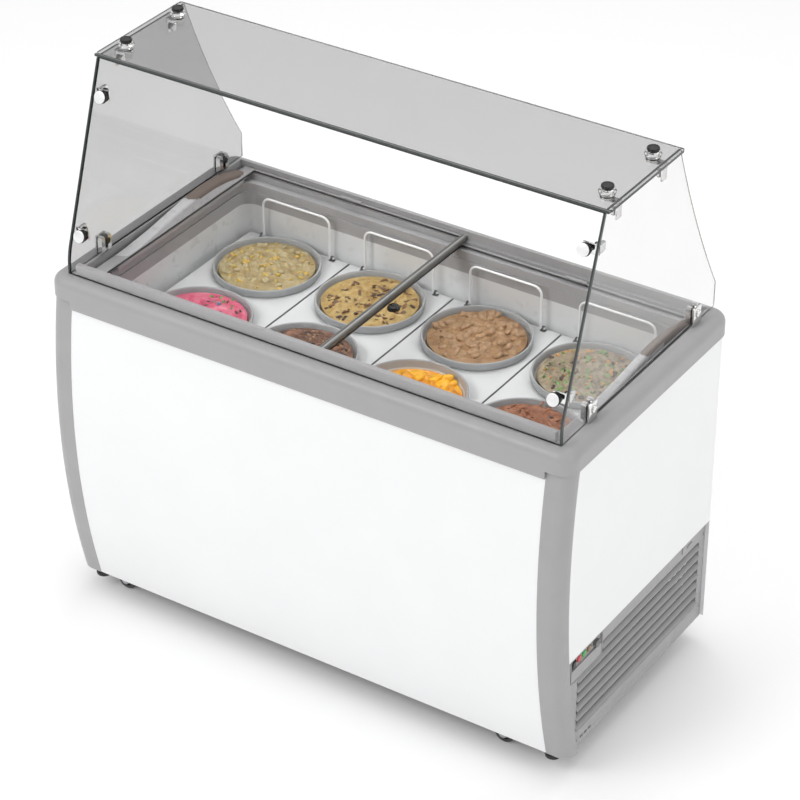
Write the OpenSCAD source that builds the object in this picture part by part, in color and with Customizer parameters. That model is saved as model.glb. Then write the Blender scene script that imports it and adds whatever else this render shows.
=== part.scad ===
// Ice cream dipping cabinet: an insulated chest on four castors, with eight lift-out tubs,
// two sliding glass lids, a glass customer guard and a condensing unit behind a side grille.
// +X runs to the grille end, -Y faces the customer and +Y the server. Millimetres.

/* [Cabinet] */
// Width over the top frame
frame_w = 1204; // [1190:2:1220]
// Depth from the bowed front to the back of the top frame
depth = 637; // [633:1:641]
// Height of the lower edge of the front panel and posts above the floor
skirt_z = 50; // [48:1:52]
// Height of the flat of the top frame
frame_top = 787; // [785:1:790]
// Radius of the bow of the front panel
bow_r = 1654; // [1600:1:1700]
// Height of the middle of the bow
bow_mid_z = 475; // [465:1:485]
// Width of each front corner post
post_w = 52; // [48:1:56]

/* [Well and tubs] */
// Height of the rims of the tubs
rim_z = 660; // [655:1:665]
// Height of the top of the tub racks
rack_z = 642; // [640:1:644]
// Outside radius of a tub rim
tub_r = 114; // [110:1:116]
// Distance between tub columns
pitch_x = 257; // [250:1:258]
// Depth of a tub
tub_deep = 248; // [200:1:255]
// Centre of the rear row of tubs
rear_row_y = 143; // [140:1:145]
// Centre of the front row of tubs
front_row_y = -102; // [-104:1:-100]
// Height of the wire rack handles above the racks
bail_h = 98; // [80:1:100]

/* [Sliding lids] */
// Underside of the lower lid, on the right
lower_lid_z = 754.3; // [753:0.1:755]
// Rise from the lower lid to the upper one
lid_step = 14; // [14:0.5:16]
// Thickness of the lid glass
lid_glass_t = 4; // [3:0.5:5]
// Height of the arch of the end handles
arch_h = 25; // [15:1:25]

/* [Glass guard] */
// Height of the top surface of the top glass
guard_top = 1215; // [1180:1:1230]
// Half width of the top glass
top_glass_half = 574; // [570:1:580]
// Distance from the centre to the outside of each side glass
side_glass_x = 567; // [565:1:568]
// Thickness of the guard glass
guard_t = 5; // [5:0.5:6]
// Bend of the front glass from upright
front_lean = 18.6; // [17:0.1:19]

/* [Running gear] */
// Radius of a castor wheel
wheel_r = 23; // [22:0.5:24]
// Distance of the castor pivots from the middle
castor_x = 470; // [460:1:480]
// Trail of a castor wheel behind its pivot
trail = 40; // [36:1:42]

/* [Condensing unit] */
// Radius of the condenser fan
fan_r = 88; // [80:1:92]
// Height of the grille above the floor
grille_top = 297; // [290:1:300]

/* [Hidden] */
$fn = 64;
eps = 0.02;

y_back = depth / 2;
y_front = -depth / 2;
half_w = frame_w / 2;
// Skin of the cabinet: half width inside the frame, sheet thickness, back face
skin_x = half_w - 4;
sheet = 1.5;
back_y = 292;
bow_axis_y = y_front + bow_r;
post_depth = 32;
post_in = half_w - 2 - post_w;
band_z = 739;
skirt_top = 722;
frame_y0 = -304.5;
corner_r = 34;
edge_r = 22;
// Inner edges of the top frame
rim_x = 556;
rim_y0 = -263;
rim_y1 = 294.5;
// Well of the liner
well_x = 528;
well_y0 = -227;
well_y1 = 268;
well_r = 30;
liner_t = 2;
liner_top = 706;
ledge_z = 620;
ledge_in = 14;
floor_z = 112;
step_x = 285;
step_z = 358;
coil_gap = 10;
bay_x = 310;
bay_top = 303;
riser = [534, -50];
grille_x = 590;
tub_cols = [-1.5, -0.5, 0.5, 1.5];
tub_wall = 2.5;
tub_body_r = 106;
shelf_lo = lower_lid_z - 0.8;
shelf_hi = shelf_lo + lid_step;
lid_out = 545;
handle_w = 27;
lid_overlap = 11;
lower_y = [-248, 285.5];
upper_y = [-260, 293];
strip_top = 808;
glass_y0 = -279;
bend_r = 150;
bend_z = 802;
guard_z1 = guard_top - 6;
clamp_x = 538;
clamp_ys = [-93, 75];
button_zs = [872, 1140];
base_clamp_ys = [-173, 229];
castor_ys = [-216, 232];
control_z = 269;

// Flat rounded rectangle between two corners
module plate2d(x0, x1, y0, y1, r) {
    translate([x0 + r, y0]) square([x1 - x0 - 2 * r, y1 - y0]);
    translate([x0, y0 + r]) square([x1 - x0, y1 - y0 - 2 * r]);
    for (x = [x0 + r, x1 - r], y = [y0 + r, y1 - r])
        translate([x, y]) circle(r);
}

module plate(x0, x1, y0, y1, z0, z1, r) {
    translate([0, 0, z0]) linear_extrude(z1 - z0) plate2d(x0, x1, y0, y1, r);
}

module box(a, b) {
    translate(a) cube(b - a);
}

// Outline given in Y and Z, swept from x0 to x1
module along_x(x0, x1) {
    translate([x0, 0, 0]) rotate([90, 0, 90]) linear_extrude(x1 - x0) children();
}

module rod_x(x0, x1, y, z, r) {
    translate([x0, y, z]) rotate([0, 90, 0]) cylinder(h = x1 - x0, r = r);
}

module rod_y(x, y0, y1, z, r) {
    translate([x, y0, z]) rotate([-90, 0, 0]) cylinder(h = y1 - y0, r = r);
}

module mirror_x() {
    children();
    mirror([1, 0, 0]) children();
}

// Outline of the cabinet seen from the side, inset from the bow by d
module side2d(y1, z0, z1, d) {
    intersection() {
        translate([y_front, z0]) square([y1 - y_front, z1 - z0]);
        translate([bow_axis_y, bow_mid_z]) circle(bow_r - d, $fn = 720);
    }
}

// Ring of the bow: turns an outline of radius and width about the axis of the bow
module bowed(z0, z1) {
    span = 34;
    intersection() {
        translate([0, bow_axis_y, bow_mid_z]) rotate([0, 90, 0]) rotate([0, 0, 270 - span / 2])
            rotate_extrude(angle = span, $fn = 720) children();
        box([-half_w, y_front - 20, z0], [half_w, y_front + 120, z1]);
    }
}

// ---- Shell ----

// Room for the front corner posts
module post_space() {
    mirror_x() along_x(post_in - 2, half_w) difference() {
        side2d(0, 40, band_z + 1, 0);
        side2d(0, 30, band_z + 2, post_depth + 1);
    }
}

module base_pan() color("silver") {
    difference() {
        along_x(-skin_x + 2, grille_x - 10.5) side2d(back_y - 2, 56, 59, 4);
        post_space();
        for (s = [-1, 1], y = castor_ys)
            translate([s * castor_x, y, 50]) cylinder(h = 20, r = 6);
    }
    box([bay_x - 2, -250, 59 - eps], [bay_x, back_y - 3, bay_top]);
    difference() {
        box([bay_x - 2, -250, bay_top - 2], [skin_x - 2, back_y - 3, bay_top]);
        translate([riser[0], riser[1], bay_top - 5]) cylinder(h = 10, r = 5);
    }
}

module front_panel() color("white")
    bowed(skirt_z, skirt_top + 8) translate([bow_r - 3, -post_in]) square([2, 2 * post_in]);

module side_sheet(z0) {
    along_x(skin_x - sheet, skin_x) {
        side2d(back_y - sheet, z0, band_z - 0.5, post_depth + 0.5);
        side2d(270, band_z - 1, band_z + 10, post_depth + 0.5);
    }
}

module left_side_panel() color("white")
    mirror([1, 0, 0]) side_sheet(56);

module right_side_panel() color("white")
    side_sheet(grille_top);

// Back sheet with exhaust slots behind the condensing unit and a hole for the mains lead
module back_panel() color("white")
    difference() {
        union() {
            box([-skin_x, back_y - sheet, 56], [skin_x, back_y, band_z - 0.5]);
            box([-565, back_y - sheet, band_z - 1], [565, back_y, band_z + 10]);
        }
        for (i = [0:8], j = [0:2])
            box([325 + j * 82, back_y - 5, 110 + i * 18], [389 + j * 82, back_y + 5, 117 + i * 18]);
        rod_y(540, back_y - 5, back_y + 5, 84, 9);
    }

module post_outline() {
    r = 26;
    r0 = bow_r - post_depth;
    translate([r0, post_in]) square([post_depth - r, post_w]);
    translate([r0, post_in]) square([post_depth, post_w - r]);
    intersection() {
        translate([bow_r - r, post_in + post_w - r]) circle(r);
        translate([r0, post_in]) square([post_depth, post_w]);
    }
}

module front_posts() color("darkgray")
    mirror_x() bowed(skirt_z, band_z) post_outline();

module liner_hollow(grow, drop) {
    g = grow;
    difference() {
        plate(-well_x - g, well_x + g, well_y0 - g, well_y1 + g, floor_z - g, liner_top + drop, well_r + g);
        box([step_x + g, -400, 0], [700, 400, step_z - g]);
    }
}

module liner() color("whitesmoke")
    difference() {
        liner_hollow(liner_t, 0);
        difference() {
            liner_hollow(0, 1);
            difference() {
                box([-600, -400, 0], [600, 400, ledge_z]);
                plate(-well_x + ledge_in, well_x - ledge_in, well_y0 + ledge_in, well_y1 - ledge_in,
                    ledge_z - 20, ledge_z + 1, well_r - ledge_in);
                box([-600, -400, -1], [600, 400, ledge_z - 8]);
            }
        }
    }

// Foam between the shell and the liner, with a gap for the evaporator tube
module foam_insulation() color("khaki")
    difference() {
        along_x(-skin_x + 2, skin_x - 2) side2d(back_y - 2, 59.5, liner_top - 2, 4);
        liner_hollow(coil_gap, 1);
        box([bay_x - 3, -400, 0], [700, 400, bay_top + 1]);
        post_space();
        translate([riser[0], riser[1], bay_top - 1]) cylinder(h = step_z - bay_top, r = 5);
    }

// ---- Top frame ----

// Slab with a quarter-round upper edge and rounded corners
module soft_slab(x0, x1, y0, y1, z0, z1) {
    zr = z1 - edge_r;
    plate(x0, x1, y0, y1, z0, zr, corner_r);
    plate(x0 + edge_r, x1 - edge_r, y0 + edge_r, y1 - edge_r, zr - eps, z1, corner_r - edge_r);
    for (y = [y0 + edge_r, y1 - edge_r])
        intersection() {
            rod_x(x0 + corner_r, x1 - corner_r, y, zr, edge_r);
            box([x0, y0, zr - eps], [x1, y1, z1]);
        }
    for (x = [x0 + edge_r, x1 - edge_r])
        intersection() {
            rod_y(x, y0 + corner_r, y1 - corner_r, zr, edge_r);
            box([x0, y0, zr - eps], [x1, y1, z1]);
        }
    for (c = [[x0 + corner_r, y0 + corner_r, 180], [x1 - corner_r, y0 + corner_r, 270],
            [x1 - corner_r, y1 - corner_r, 0], [x0 + corner_r, y1 - corner_r, 90]])
        translate([c[0], c[1], zr]) rotate(c[2]) rotate_extrude(angle = 90) {
            square([corner_r - edge_r, edge_r]);
            translate([corner_r - edge_r, 0]) intersection() {
                circle(edge_r);
                square(edge_r);
            }
        }
}

module top_frame() color("darkgray")
    difference() {
        union() {
            soft_slab(-half_w, half_w, frame_y0, y_back, band_z, frame_top);
            box([-post_in, frame_y0, skirt_top], [post_in, frame_y0 + 5, band_z + 10]);
        }
        box([-rim_x, rim_y0, 700], [rim_x, rim_y1, 800]);
        // hollow underside, a moulded wall 4 mm thick
        plate(-half_w + 4, half_w - 4, frame_y0 + 4, y_back - 4, 700, frame_top - 26, corner_r - 4);
    }

// Upstand behind the foot of the front glass
module front_glass_channel() color("silver")
    difference() {
        box([-551, glass_y0 + guard_t + 0.3, frame_top], [551, rim_y0 + 1, strip_top]);
        box([-547, glass_y0 + guard_t + 3, frame_top - 1], [547, rim_y0 - 2, strip_top - 3]);
    }

// Inner surround with two stepped shelves that the lids slide on
module lid_track_frame() color("gray")
    difference() {
        box([-rim_x, rim_y0, liner_top], [rim_x, rim_y1, shelf_hi]);
        plate(-well_x, well_x, well_y0, well_y1, liner_top - 1, 736, well_r);
        plate(-well_x - 3, well_x + 3, well_y0 - 3, well_y1 + 3, 735, 800, well_r);
        box([-rim_x - 1, lower_y[0] - 1.5, shelf_lo], [rim_x + 1, lower_y[1] + 1.5, 800]);
        // clear of the back sheet
        box([-rim_x - 1, back_y - sheet - 0.4, liner_top - 1], [rim_x + 1, rim_y1 + 1, band_z + 10.5]);
        // lightening pocket under each shelf
        for (x = [-rim_x + 4, well_x + 7])
            box([x, well_y0, liner_top - 1], [x + 17, well_y1, shelf_lo - 4]);
    }

// ---- Guard ----

// Outer surface of the front glass moved inwards by d
function lean_pts(d, n) = concat(
    [[glass_y0 + d, frame_top]],
    [for (i = [0:n]) let (a = front_lean * i / n)
        [glass_y0 + bend_r - (bend_r - d) * cos(a), bend_z + (bend_r - d) * sin(a)]],
    [lean_top(d, guard_z1)]);
function lean_top(d, z) = let (
    a = front_lean,
    y = glass_y0 + bend_r - (bend_r - d) * cos(a),
    z0 = bend_z + (bend_r - d) * sin(a)) [y + (z - z0) * tan(a), z];
function reverse(v) = [for (i = [len(v) - 1:-1:0]) v[i]];

module front_glass() color("lightblue", 0.4)
    along_x(-side_glass_x, side_glass_x)
        polygon(concat(lean_pts(0, 12), reverse(lean_pts(guard_t, 12))));

top_y0 = -149;
top_y1 = 132;
module top_glass() color("lightblue", 0.5)
    difference() {
        plate(-top_glass_half, top_glass_half, top_y0, top_y1, guard_z1, guard_top, 5);
        for (s = [-1, 1], y = clamp_ys)
            translate([s * clamp_x, y, guard_z1 - 1]) cylinder(h = 10, r = 5);
    }

// Side glass: upright foot, hollow-curved back edge, leaning front edge
module side_glass2d() {
    curve_r = 2350;
    foot = [309, 842];
    top = [top_y1 - 2, guard_z1];
    chord = norm(foot - top);
    mid = (foot + top) / 2;
    out = [top[1] - foot[1], foot[0] - top[0]] / chord;
    centre = mid + out * sqrt(curve_r * curve_r - chord * chord / 4);
    difference() {
        polygon(concat(lean_pts(guard_t + 0.3, 12), [top, foot, [foot[0], frame_top]]));
        translate(centre) circle(curve_r, $fn = 1440);
    }
}

module side_glasses() color("lightblue", 0.4)
    mirror_x() along_x(side_glass_x - guard_t, side_glass_x) side_glass2d();

module front_button(s, z) {
    p = lean_top(0, z);
    translate([s * 541, p[0], z]) rotate([90 - front_lean, 0, 0]) {
        translate([0, 0, 0]) cylinder(h = 4, r = 14);
        translate([0, 0, 4]) cylinder(h = 5, r = 12);
        translate([0, 0, -guard_t - 9]) cylinder(h = 9, r = 10);
    }
    box([min(s * 551, s * 562), p[0] + 16, z - 14], [max(s * 551, s * 562), p[0] + 44, z + 12]);
    box([min(s * 531, s * 562), p[0] + 10, z - 12], [max(s * 531, s * 562), p[0] + 17, z + 10]);
}

module top_clamp(s, y) {
    translate([s * clamp_x, y, guard_top]) cylinder(h = 4, r = 15);
    translate([s * clamp_x, y, guard_z1 - 4]) cylinder(h = 4, r = 14);
    translate([s * clamp_x, y, guard_z1 - 4]) cylinder(h = 12, r = 4.8);
    box([min(s * 528, s * 562), y - 10, guard_z1 - 8], [max(s * 528, s * 562), y + 10, guard_z1 - 4 + eps]);
    box([min(s * 558, s * 562), y - 10, guard_z1 - 38], [max(s * 558, s * 562), y + 10, guard_z1 - 4]);
    rod_x(min(s * 546, s * 558), max(s * 546, s * 558), y, guard_z1 - 26, 8);
}

// Two jaws that stand on the frame and hold the foot of a side glass between them
module base_clamp(s, y) {
    box([min(s * 556.5, s * 562), y - 16, frame_top], [max(s * 556.5, s * 562), y + 16, frame_top + 6]);
    box([min(s * 550, s * 562), y - 16, frame_top + 4], [max(s * 550, s * 562), y + 16, frame_top + 42]);
    box([min(s * 567, s * 573), y - 16, frame_top], [max(s * 567, s * 573), y + 16, frame_top + 42]);
    rod_x(min(s * 573, s * 577), max(s * 573, s * 577), y, frame_top + 25, 8);
}

module glass_clamps() color("gainsboro")
    for (s = [-1, 1]) {
        for (y = clamp_ys) top_clamp(s, y);
        for (y = base_clamp_ys) base_clamp(s, y);
        for (z = button_zs) front_button(s, z);
    }

module clamp_caps() color("black")
    for (s = [-1, 1], y = clamp_ys)
        translate([s * clamp_x, y, guard_top + 4]) {
            cylinder(h = 5, r = 9);
            translate([0, 0, 5]) cylinder(h = 12, r = 13);
        }

// ---- Sliding lids ----

handle_y0 = -185;
handle_y1 = 262;
grip_y0 = 72;
function arch(t) = arch_h * sin(180 * pow(t, 1.87)) + 6 * t;
function arch_pts(z, n) = [for (i = [0:n]) let (t = i / n)
    [handle_y0 + t * (handle_y1 - handle_y0), z + 3.7 + arch(t)]];

module arch2d(z) {
    polygon(concat([[handle_y0, z]], arch_pts(z, 28), [[handle_y1, z]]));
}

// Frame of one lid at the left end, opening towards +X: z underside, ys span front to back
module lid_frame(z, ys, skirt) {
    x0 = -lid_out;
    x1 = -lid_out + handle_w;
    box([x0, ys[0], z], [x1, ys[1], z + 8]);
    box([x0, ys[0], z], [lid_overlap, ys[0] + 5, z + 8]);
    box([x0, ys[1] - 5, z], [lid_overlap, ys[1], z + 8]);
    box([lid_overlap - 14, ys[0], z], [lid_overlap, ys[1], z + 10]);
    difference() {
        union() {
            along_x(x0, x1) arch2d(z + 4);
            box([x0 + 2, handle_y0, z - skirt], [x1, handle_y1 - 10, z + 5]);
        }
        grip_space(z, 0);
    }
    box([-298, ys[1] - 8, z + 8 - eps], [-246, ys[1], z + 12]);
}

module lid_glass(z, ys) {
    box([-lid_out + handle_w, ys[0] + 5, z + 2], [lid_overlap - 14, ys[1] - 5, z + 2 + lid_glass_t]);
}

module grip_space(z, gap) {
    along_x(-lid_out - 1, -lid_out + handle_w + 1) difference() {
        translate([grip_y0, z + 9]) square([handle_y1 - grip_y0 - 6, 60]);
        translate([0, -5]) arch2d(z + 4);
    }
}

module lid_grip(z) {
    intersection() {
        along_x(-lid_out, -lid_out + handle_w) arch2d(z + 4);
        grip_space(z, 0);
    }
}

upper_lid_z = lower_lid_z + lid_step;
module left_lid_glass() color("lightblue", 0.3) lid_glass(upper_lid_z, upper_y);
module left_lid_frame() color("gray") lid_frame(upper_lid_z, upper_y, 10);
module left_lid_grip() color("dimgray") lid_grip(upper_lid_z);
module right_lid_glass() color("lightblue", 0.3) mirror([1, 0, 0]) lid_glass(lower_lid_z, lower_y);
module right_lid_frame() color("gray") mirror([1, 0, 0]) lid_frame(lower_lid_z, lower_y, 0);
module right_lid_grip() color("dimgray") mirror([1, 0, 0]) lid_grip(lower_lid_z);

lock_x = 25;
lock_y = -4;
module lid_lock() color("black")
    translate([lock_x, lock_y, lower_lid_z + 2 + lid_glass_t]) difference() {
        union() {
            cylinder(h = 3, r = 13);
            cylinder(h = 6.6, r = 11);
        }
        translate([-7, -1.2, 4.6]) cube([14, 2.4, 5]);
    }

// ---- Tubs and racks ----

rack_y0 = -217;
rack_y1 = 259;
module rack(x) {
    w = pitch_x / 2 - 1;
    difference() {
        box([x - w, rack_y0, ledge_z], [x + w, rack_y1, rack_z]);
        box([x - w + 2, rack_y0 + 2, ledge_z - 1], [x + w - 2, rack_y1 - 2, rack_z - 2]);
        for (y = [rear_row_y, front_row_y])
            translate([x, y, ledge_z - 1]) cylinder(h = 40, r = tub_body_r + 1.5);
    }
    // lugs for the wire handle
    for (s = [-1, 1])
        difference() {
            box([x + s * 90 - 2, bail_y - 4.5, rack_z - 1], [x + s * 90 + 2, bail_y + 4.5, bail_z + 5]);
            rod_x(x + s * 90 - 5, x + s * 90 + 5, bail_y, bail_z, bail_r + 0.06);
        }
}

module tub_racks() color("white")
    for (c = tub_cols) rack(c * pitch_x);

module tub() {
    rotate_extrude() {
        translate([0, rim_z - tub_deep]) square([tub_body_r - 12, tub_wall]);
        polygon([[tub_body_r - 12 - tub_wall, rim_z - tub_deep], [tub_body_r - 12, rim_z - tub_deep],
            [tub_body_r, rack_z], [tub_r - 3, rack_z], [tub_r, rim_z - 2], [tub_r, rim_z],
            [tub_r - 4, rim_z], [tub_r - 6.5, rack_z + 3], [tub_body_r - tub_wall, rack_z + 3]]);
    }
}

module each_tub() {
    for (c = tub_cols, y = [rear_row_y, front_row_y])
        translate([c * pitch_x, y, 0]) children();
}

module tubs() color("lightgray")
    each_tub() tub();

module ice_cream() color("wheat")
    each_tub() rotate_extrude() {
        translate([0, rim_z - tub_deep + tub_wall]) polygon([[0, 0], [tub_body_r - 16, 0],
            [tub_body_r - 4, tub_deep - 22], [tub_body_r - 1, tub_deep - 8], [70, tub_deep + 4],
            [0, tub_deep + 8]]);
    }

bail_r = 2.5;
bail_y = 251;
bail_z = rack_z + 6;
bail_half = 84;
bail_bend = 18;
module rack_handle(c) {
    top = rack_z + bail_h - bail_z;
    translate([c * pitch_x, bail_y, bail_z]) {
        for (s = [-1, 1]) {
            cylinder_at = s * bail_half;
            translate([cylinder_at, 0, 0]) cylinder(h = top - bail_bend, r = bail_r);
            translate([cylinder_at, 0, 0]) sphere(bail_r);
            rod_x(min(cylinder_at, s * 95), max(cylinder_at, s * 95), 0, 0, bail_r);
            translate([s * (bail_half - bail_bend), 0, top - bail_bend]) rotate([90, 0, 0])
                rotate([0, 0, s > 0 ? 0 : 90]) rotate_extrude(angle = 90)
                    translate([bail_bend, 0]) circle(bail_r, $fn = 24);
        }
        rod_x(-bail_half + bail_bend, bail_half - bail_bend, 0, top, bail_r);
    }
}

module rack_handle_1() color("white") rack_handle(tub_cols[0]);
module rack_handle_2() color("white") rack_handle(tub_cols[1]);
module rack_handle_3() color("white") rack_handle(tub_cols[2]);
module rack_handle_4() color("white") rack_handle(tub_cols[3]);

// ---- Grille and controls ----

louvre_y = [-238, 263];
louvre_z = [92, 256];
panel_y = [-252, -131];
panel_z = [226, 285];
grille_y = [-270, back_y - 2];
louvre_n = 7;
screw_spots = [[-256, 205], [-222, 72], [281, 232], [281, 99]];
module condenser_grille() color("gray") {
    difference() {
        along_x(grille_x - 10, grille_x) side2d(grille_y[1], 54, grille_top, post_depth + 0.6);
        along_x(grille_x - 11, grille_x - 3) side2d(grille_y[1] - 3, 57, grille_top - 3, post_depth + 4);
        along_x(grille_x - 20, grille_x + 1) plate2d(louvre_y[0], louvre_y[1], louvre_z[0], louvre_z[1], 8);
        along_x(grille_x - 20, grille_x + 1)
            plate2d(panel_y[0], panel_y[1], panel_z[0], panel_z[1], 6);
        for (p = screw_spots) rod_x(grille_x - 5, grille_x + 1, p[0], p[1], 2.6);
    }
    pitch = (louvre_z[1] - louvre_z[0]) / louvre_n;
    difference() {
        for (i = [0:louvre_n - 1])
            translate([grille_x - 3, louvre_y[0] - 1, louvre_z[0] + (i + 0.5) * pitch])
                rotate([0, 35, 0]) translate([-8, 0, -1]) cube([16, louvre_y[1] - louvre_y[0] + 2, 2]);
        along_x(grille_x - 20, grille_x + 20)
            plate2d(panel_y[0] - 60, panel_y[1], panel_z[0], panel_z[1] + 20, 6);
        box([grille_x, -400, 0], [grille_x + 30, 400, 400]);
    }
    for (y = [-120, 0, 120])
        box([grille_x - 13, y - 2, louvre_z[0] - 4], [grille_x - 10, y + 2, louvre_z[1] + 4]);
}

module grille_screws() color("silver")
    for (p = screw_spots) {
        rod_x(grille_x - 12, grille_x, p[0], p[1], 2.5);
        rod_x(grille_x, grille_x + 1.6, p[0], p[1], 5);
    }

rocker_y = -237;
lamp_ys = [-215, -196, -177];
knob_y = -153;
module control_panel() color("slategray")
    difference() {
        union() {
            along_x(grille_x - 6, grille_x - 4) plate2d(panel_y[0], panel_y[1], panel_z[0], panel_z[1], 6);
            along_x(grille_x - 4 - eps, grille_x - 1) difference() {
                plate2d(panel_y[0], panel_y[1], panel_z[0], panel_z[1], 6);
                plate2d(panel_y[0] + 4, panel_y[1] - 4, panel_z[0] + 20, panel_z[1] - 4, 4);
            }
        }
        box([grille_x - 20, rocker_y - 6.5, control_z - 9.5], [grille_x, rocker_y + 6.5, control_z + 9.5]);
        for (y = lamp_ys) rod_x(grille_x - 20, grille_x, y, control_z, 6);
        rod_x(grille_x - 20, grille_x, knob_y, control_z, 3.1);
    }

module power_rocker() color("black")
    translate([grille_x - 5, rocker_y, control_z]) rotate([0, 8, 0]) intersection() {
        translate([-5, -5.5, -8]) cube([10, 11, 16]);
        union() {
            rotate([90, 0, 0]) cylinder(h = 20, r = 8.5, center = true);
            translate([-20, -10, -20]) cube([20, 20, 40]);
        }
    }

module indicator_lamps() color("red")
    for (y = lamp_ys) {
        rod_x(grille_x - 14, grille_x - 4, y, control_z, 5.9);
        rod_x(grille_x - 4, grille_x - 1.5, y, control_z, 7);
    }

module thermostat_knob() color("dimgray")
    difference() {
        union() {
            rod_x(grille_x - 3.4, grille_x + 4, knob_y, control_z, 9);
            rod_x(grille_x - 12, grille_x - 3.4 + eps, knob_y, control_z, 3);
        }
        box([grille_x + 3, knob_y - 0.8, control_z + 2], [grille_x + 5, knob_y + 0.8, control_z + 10]);
    }

module thermostat_body() color("lightgray") {
    box([grille_x - 50, knob_y - 17, control_z - 5], [grille_x - 12.5, knob_y + 17, control_z + 27]);
    rod_x(grille_x - 70, grille_x - 50 + eps, knob_y, control_z + 12, 2);
}

// ---- Condensing unit ----

comp = [425, 160];
module compressor() color("black")
    translate([comp[0], comp[1], 0]) {
        translate([0, 0, 84]) cylinder(h = 120, r = 72);
        translate([0, 0, 204]) rotate_extrude() intersection() {
            scale([72, 36]) circle(1);
            square(80);
        }
        translate([-80, -60, 78]) cube([160, 120, 6 + eps]);
    }

module compressor_mounts() color("dimgray")
    for (x = [-66, 66], y = [-46, 46])
        translate([comp[0] + x, comp[1] + y, 59]) difference() {
            cylinder(h = 19, r = 11);
            translate([0, 0, -1]) cylinder(h = 30, r = 4);
        }

module terminal_box() color("ivory")
    box([comp[0] - 105, comp[1] - 24, 120], [comp[0] - 72.4, comp[1] + 24, 170]);

coil_x = [538, 566];
coil_y = [-200, 20];
coil_z = [66, 262];
coil_rows = 6;
coil_pitch = 32;
coil_mid = 552;
module condenser_coil() color("silver") {
    for (i = [0:14])
        translate([coil_x[0], coil_y[0] + i * 15.6, coil_z[0]])
            cube([coil_x[1] - coil_x[0], 1.6, coil_z[1] - coil_z[0]]);
    for (k = [0:coil_rows - 1])
        rod_y(coil_mid, coil_y[0] - 4, coil_y[1] + 4, coil_z[0] + 18 + k * coil_pitch, 4);
    for (k = [0:2:coil_rows - 2])
        translate([coil_mid, coil_y[1] + 4, coil_z[0] + 18 + (k + 0.5) * coil_pitch]) rotate([0, 90, 0])
            rotate_extrude(angle = 180) translate([coil_pitch / 2, 0]) circle(4);
    for (k = [1:2:coil_rows - 2])
        translate([coil_mid, coil_y[0] - 4, coil_z[0] + 18 + (k + 0.5) * coil_pitch]) rotate([180, 90, 0])
            rotate_extrude(angle = 180) translate([coil_pitch / 2, 0]) circle(4);
}

fan_c = [508, -90, 164];
module fan_shroud() color("gray")
    difference() {
        union() {
            box([532, coil_y[0] - 6, 59], [537, coil_y[1] + 6, 268]);
            rod_x(500, 532 + eps, fan_c[1], fan_c[2], fan_r + 7);
        }
        rod_x(499, 540, fan_c[1], fan_c[2], fan_r + 4);
    }

module fan_motor() color("dimgray") {
    rod_x(430, 484, fan_c[1], fan_c[2], 34);
    rod_x(484, 516, fan_c[1], fan_c[2], 4);
    box([450, fan_c[1] - 6, 59], [462, fan_c[1] + 6, 134]);
    box([440, fan_c[1] - 40, 59], [475, fan_c[1] + 40, 62]);
}

module condenser_fan() color("lightgray")
    difference() {
        translate([fan_c[0], fan_c[1], fan_c[2]]) {
            rotate([0, 90, 0]) cylinder(h = 20, r = 24, center = true);
            intersection() {
                rotate([0, 90, 0]) cylinder(h = 30, r = fan_r, center = true);
                for (i = [0:4])
                    rotate([72 * i, 0, 0]) translate([0, 0, 18]) rotate([0, 0, 24])
                        translate([-1, -30, 0]) cube([2, 60, 90]);
            }
        }
        rod_x(480, 530, fan_c[1], fan_c[2], 4.06);
    }

// Tube through a list of corners, with a ball at each bend
module tube_path(pts, r) {
    for (i = [0:len(pts) - 2]) {
        a = pts[i];
        v = pts[i + 1] - a;
        translate(a) rotate([0, acos(v[2] / norm(v)), atan2(v[1], v[0])]) cylinder(h = norm(v), r = r, $fn = 24);
    }
    for (p = pts) translate(p) sphere(r, $fn = 24);
}

coil_top = coil_z[0] + 18 + (coil_rows - 1) * coil_pitch;
coil_end = coil_y[0] - 8.4;
module refrigerant_lines() color("peru") {
    // hot gas from the compressor to the top of the coil
    tube_path([[comp[0] + 40, comp[1] - 40, 235], [comp[0] + 40, comp[1] - 40, 283],
        [524, comp[1] - 40, 283], [524, coil_end, 283], [coil_mid, coil_end, 283],
        [coil_mid, coil_end, coil_top]], 4);
    // liquid from the foot of the coil through the drier and up to the evaporator
    tube_path([[coil_mid, coil_end, coil_z[0] + 18], [coil_mid, -213, coil_z[0] + 18],
        [400, -213, coil_z[0] + 18], [400, -213, 130]], 3);
    translate([400, -213, 130]) cylinder(h = 90, r = 10);
    tube_path([[400, -213, 218], [400, -213, 274], [470, -213, 274], [470, riser[1], 274],
        [riser[0], riser[1], 274], [riser[0], riser[1], 423]], 2.5);
}

evap_n = 6;
evap_r = 3.5;
evap_gap = 6;
module evaporator_tube() color("peru") {
    g = evap_gap;
    rc = well_r + g;
    for (i = [0:evap_n - 1]) {
        z = 430 + i * 40;
        for (y = [well_y0 - g, well_y1 + g]) rod_x(-well_x - g + rc, well_x + g - rc, y, z, evap_r);
        for (x = [-well_x - g, well_x + g]) rod_y(x, well_y0 - g + rc, well_y1 + g - rc, z, evap_r);
        for (c = [[-1, well_y0 - g + rc, 180], [1, well_y0 - g + rc, 270], [1, well_y1 + g - rc, 0],
                [-1, well_y1 + g - rc, 90]])
            translate([c[0] * (well_x + g - rc), c[1], z]) rotate(c[2]) rotate_extrude(angle = 90)
                translate([rc, 0]) circle(evap_r, $fn = 24);
    }
    translate([0, well_y1 + g, 430]) cylinder(h = 40 * (evap_n - 1), r = evap_r - 0.5);
}

module drip_tray() color("dimgray")
    difference() {
        plate(312, 415, -190, 60, 59, 84, 10);
        plate(315, 412, -187, 57, 62, 90, 8);
    }

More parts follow.
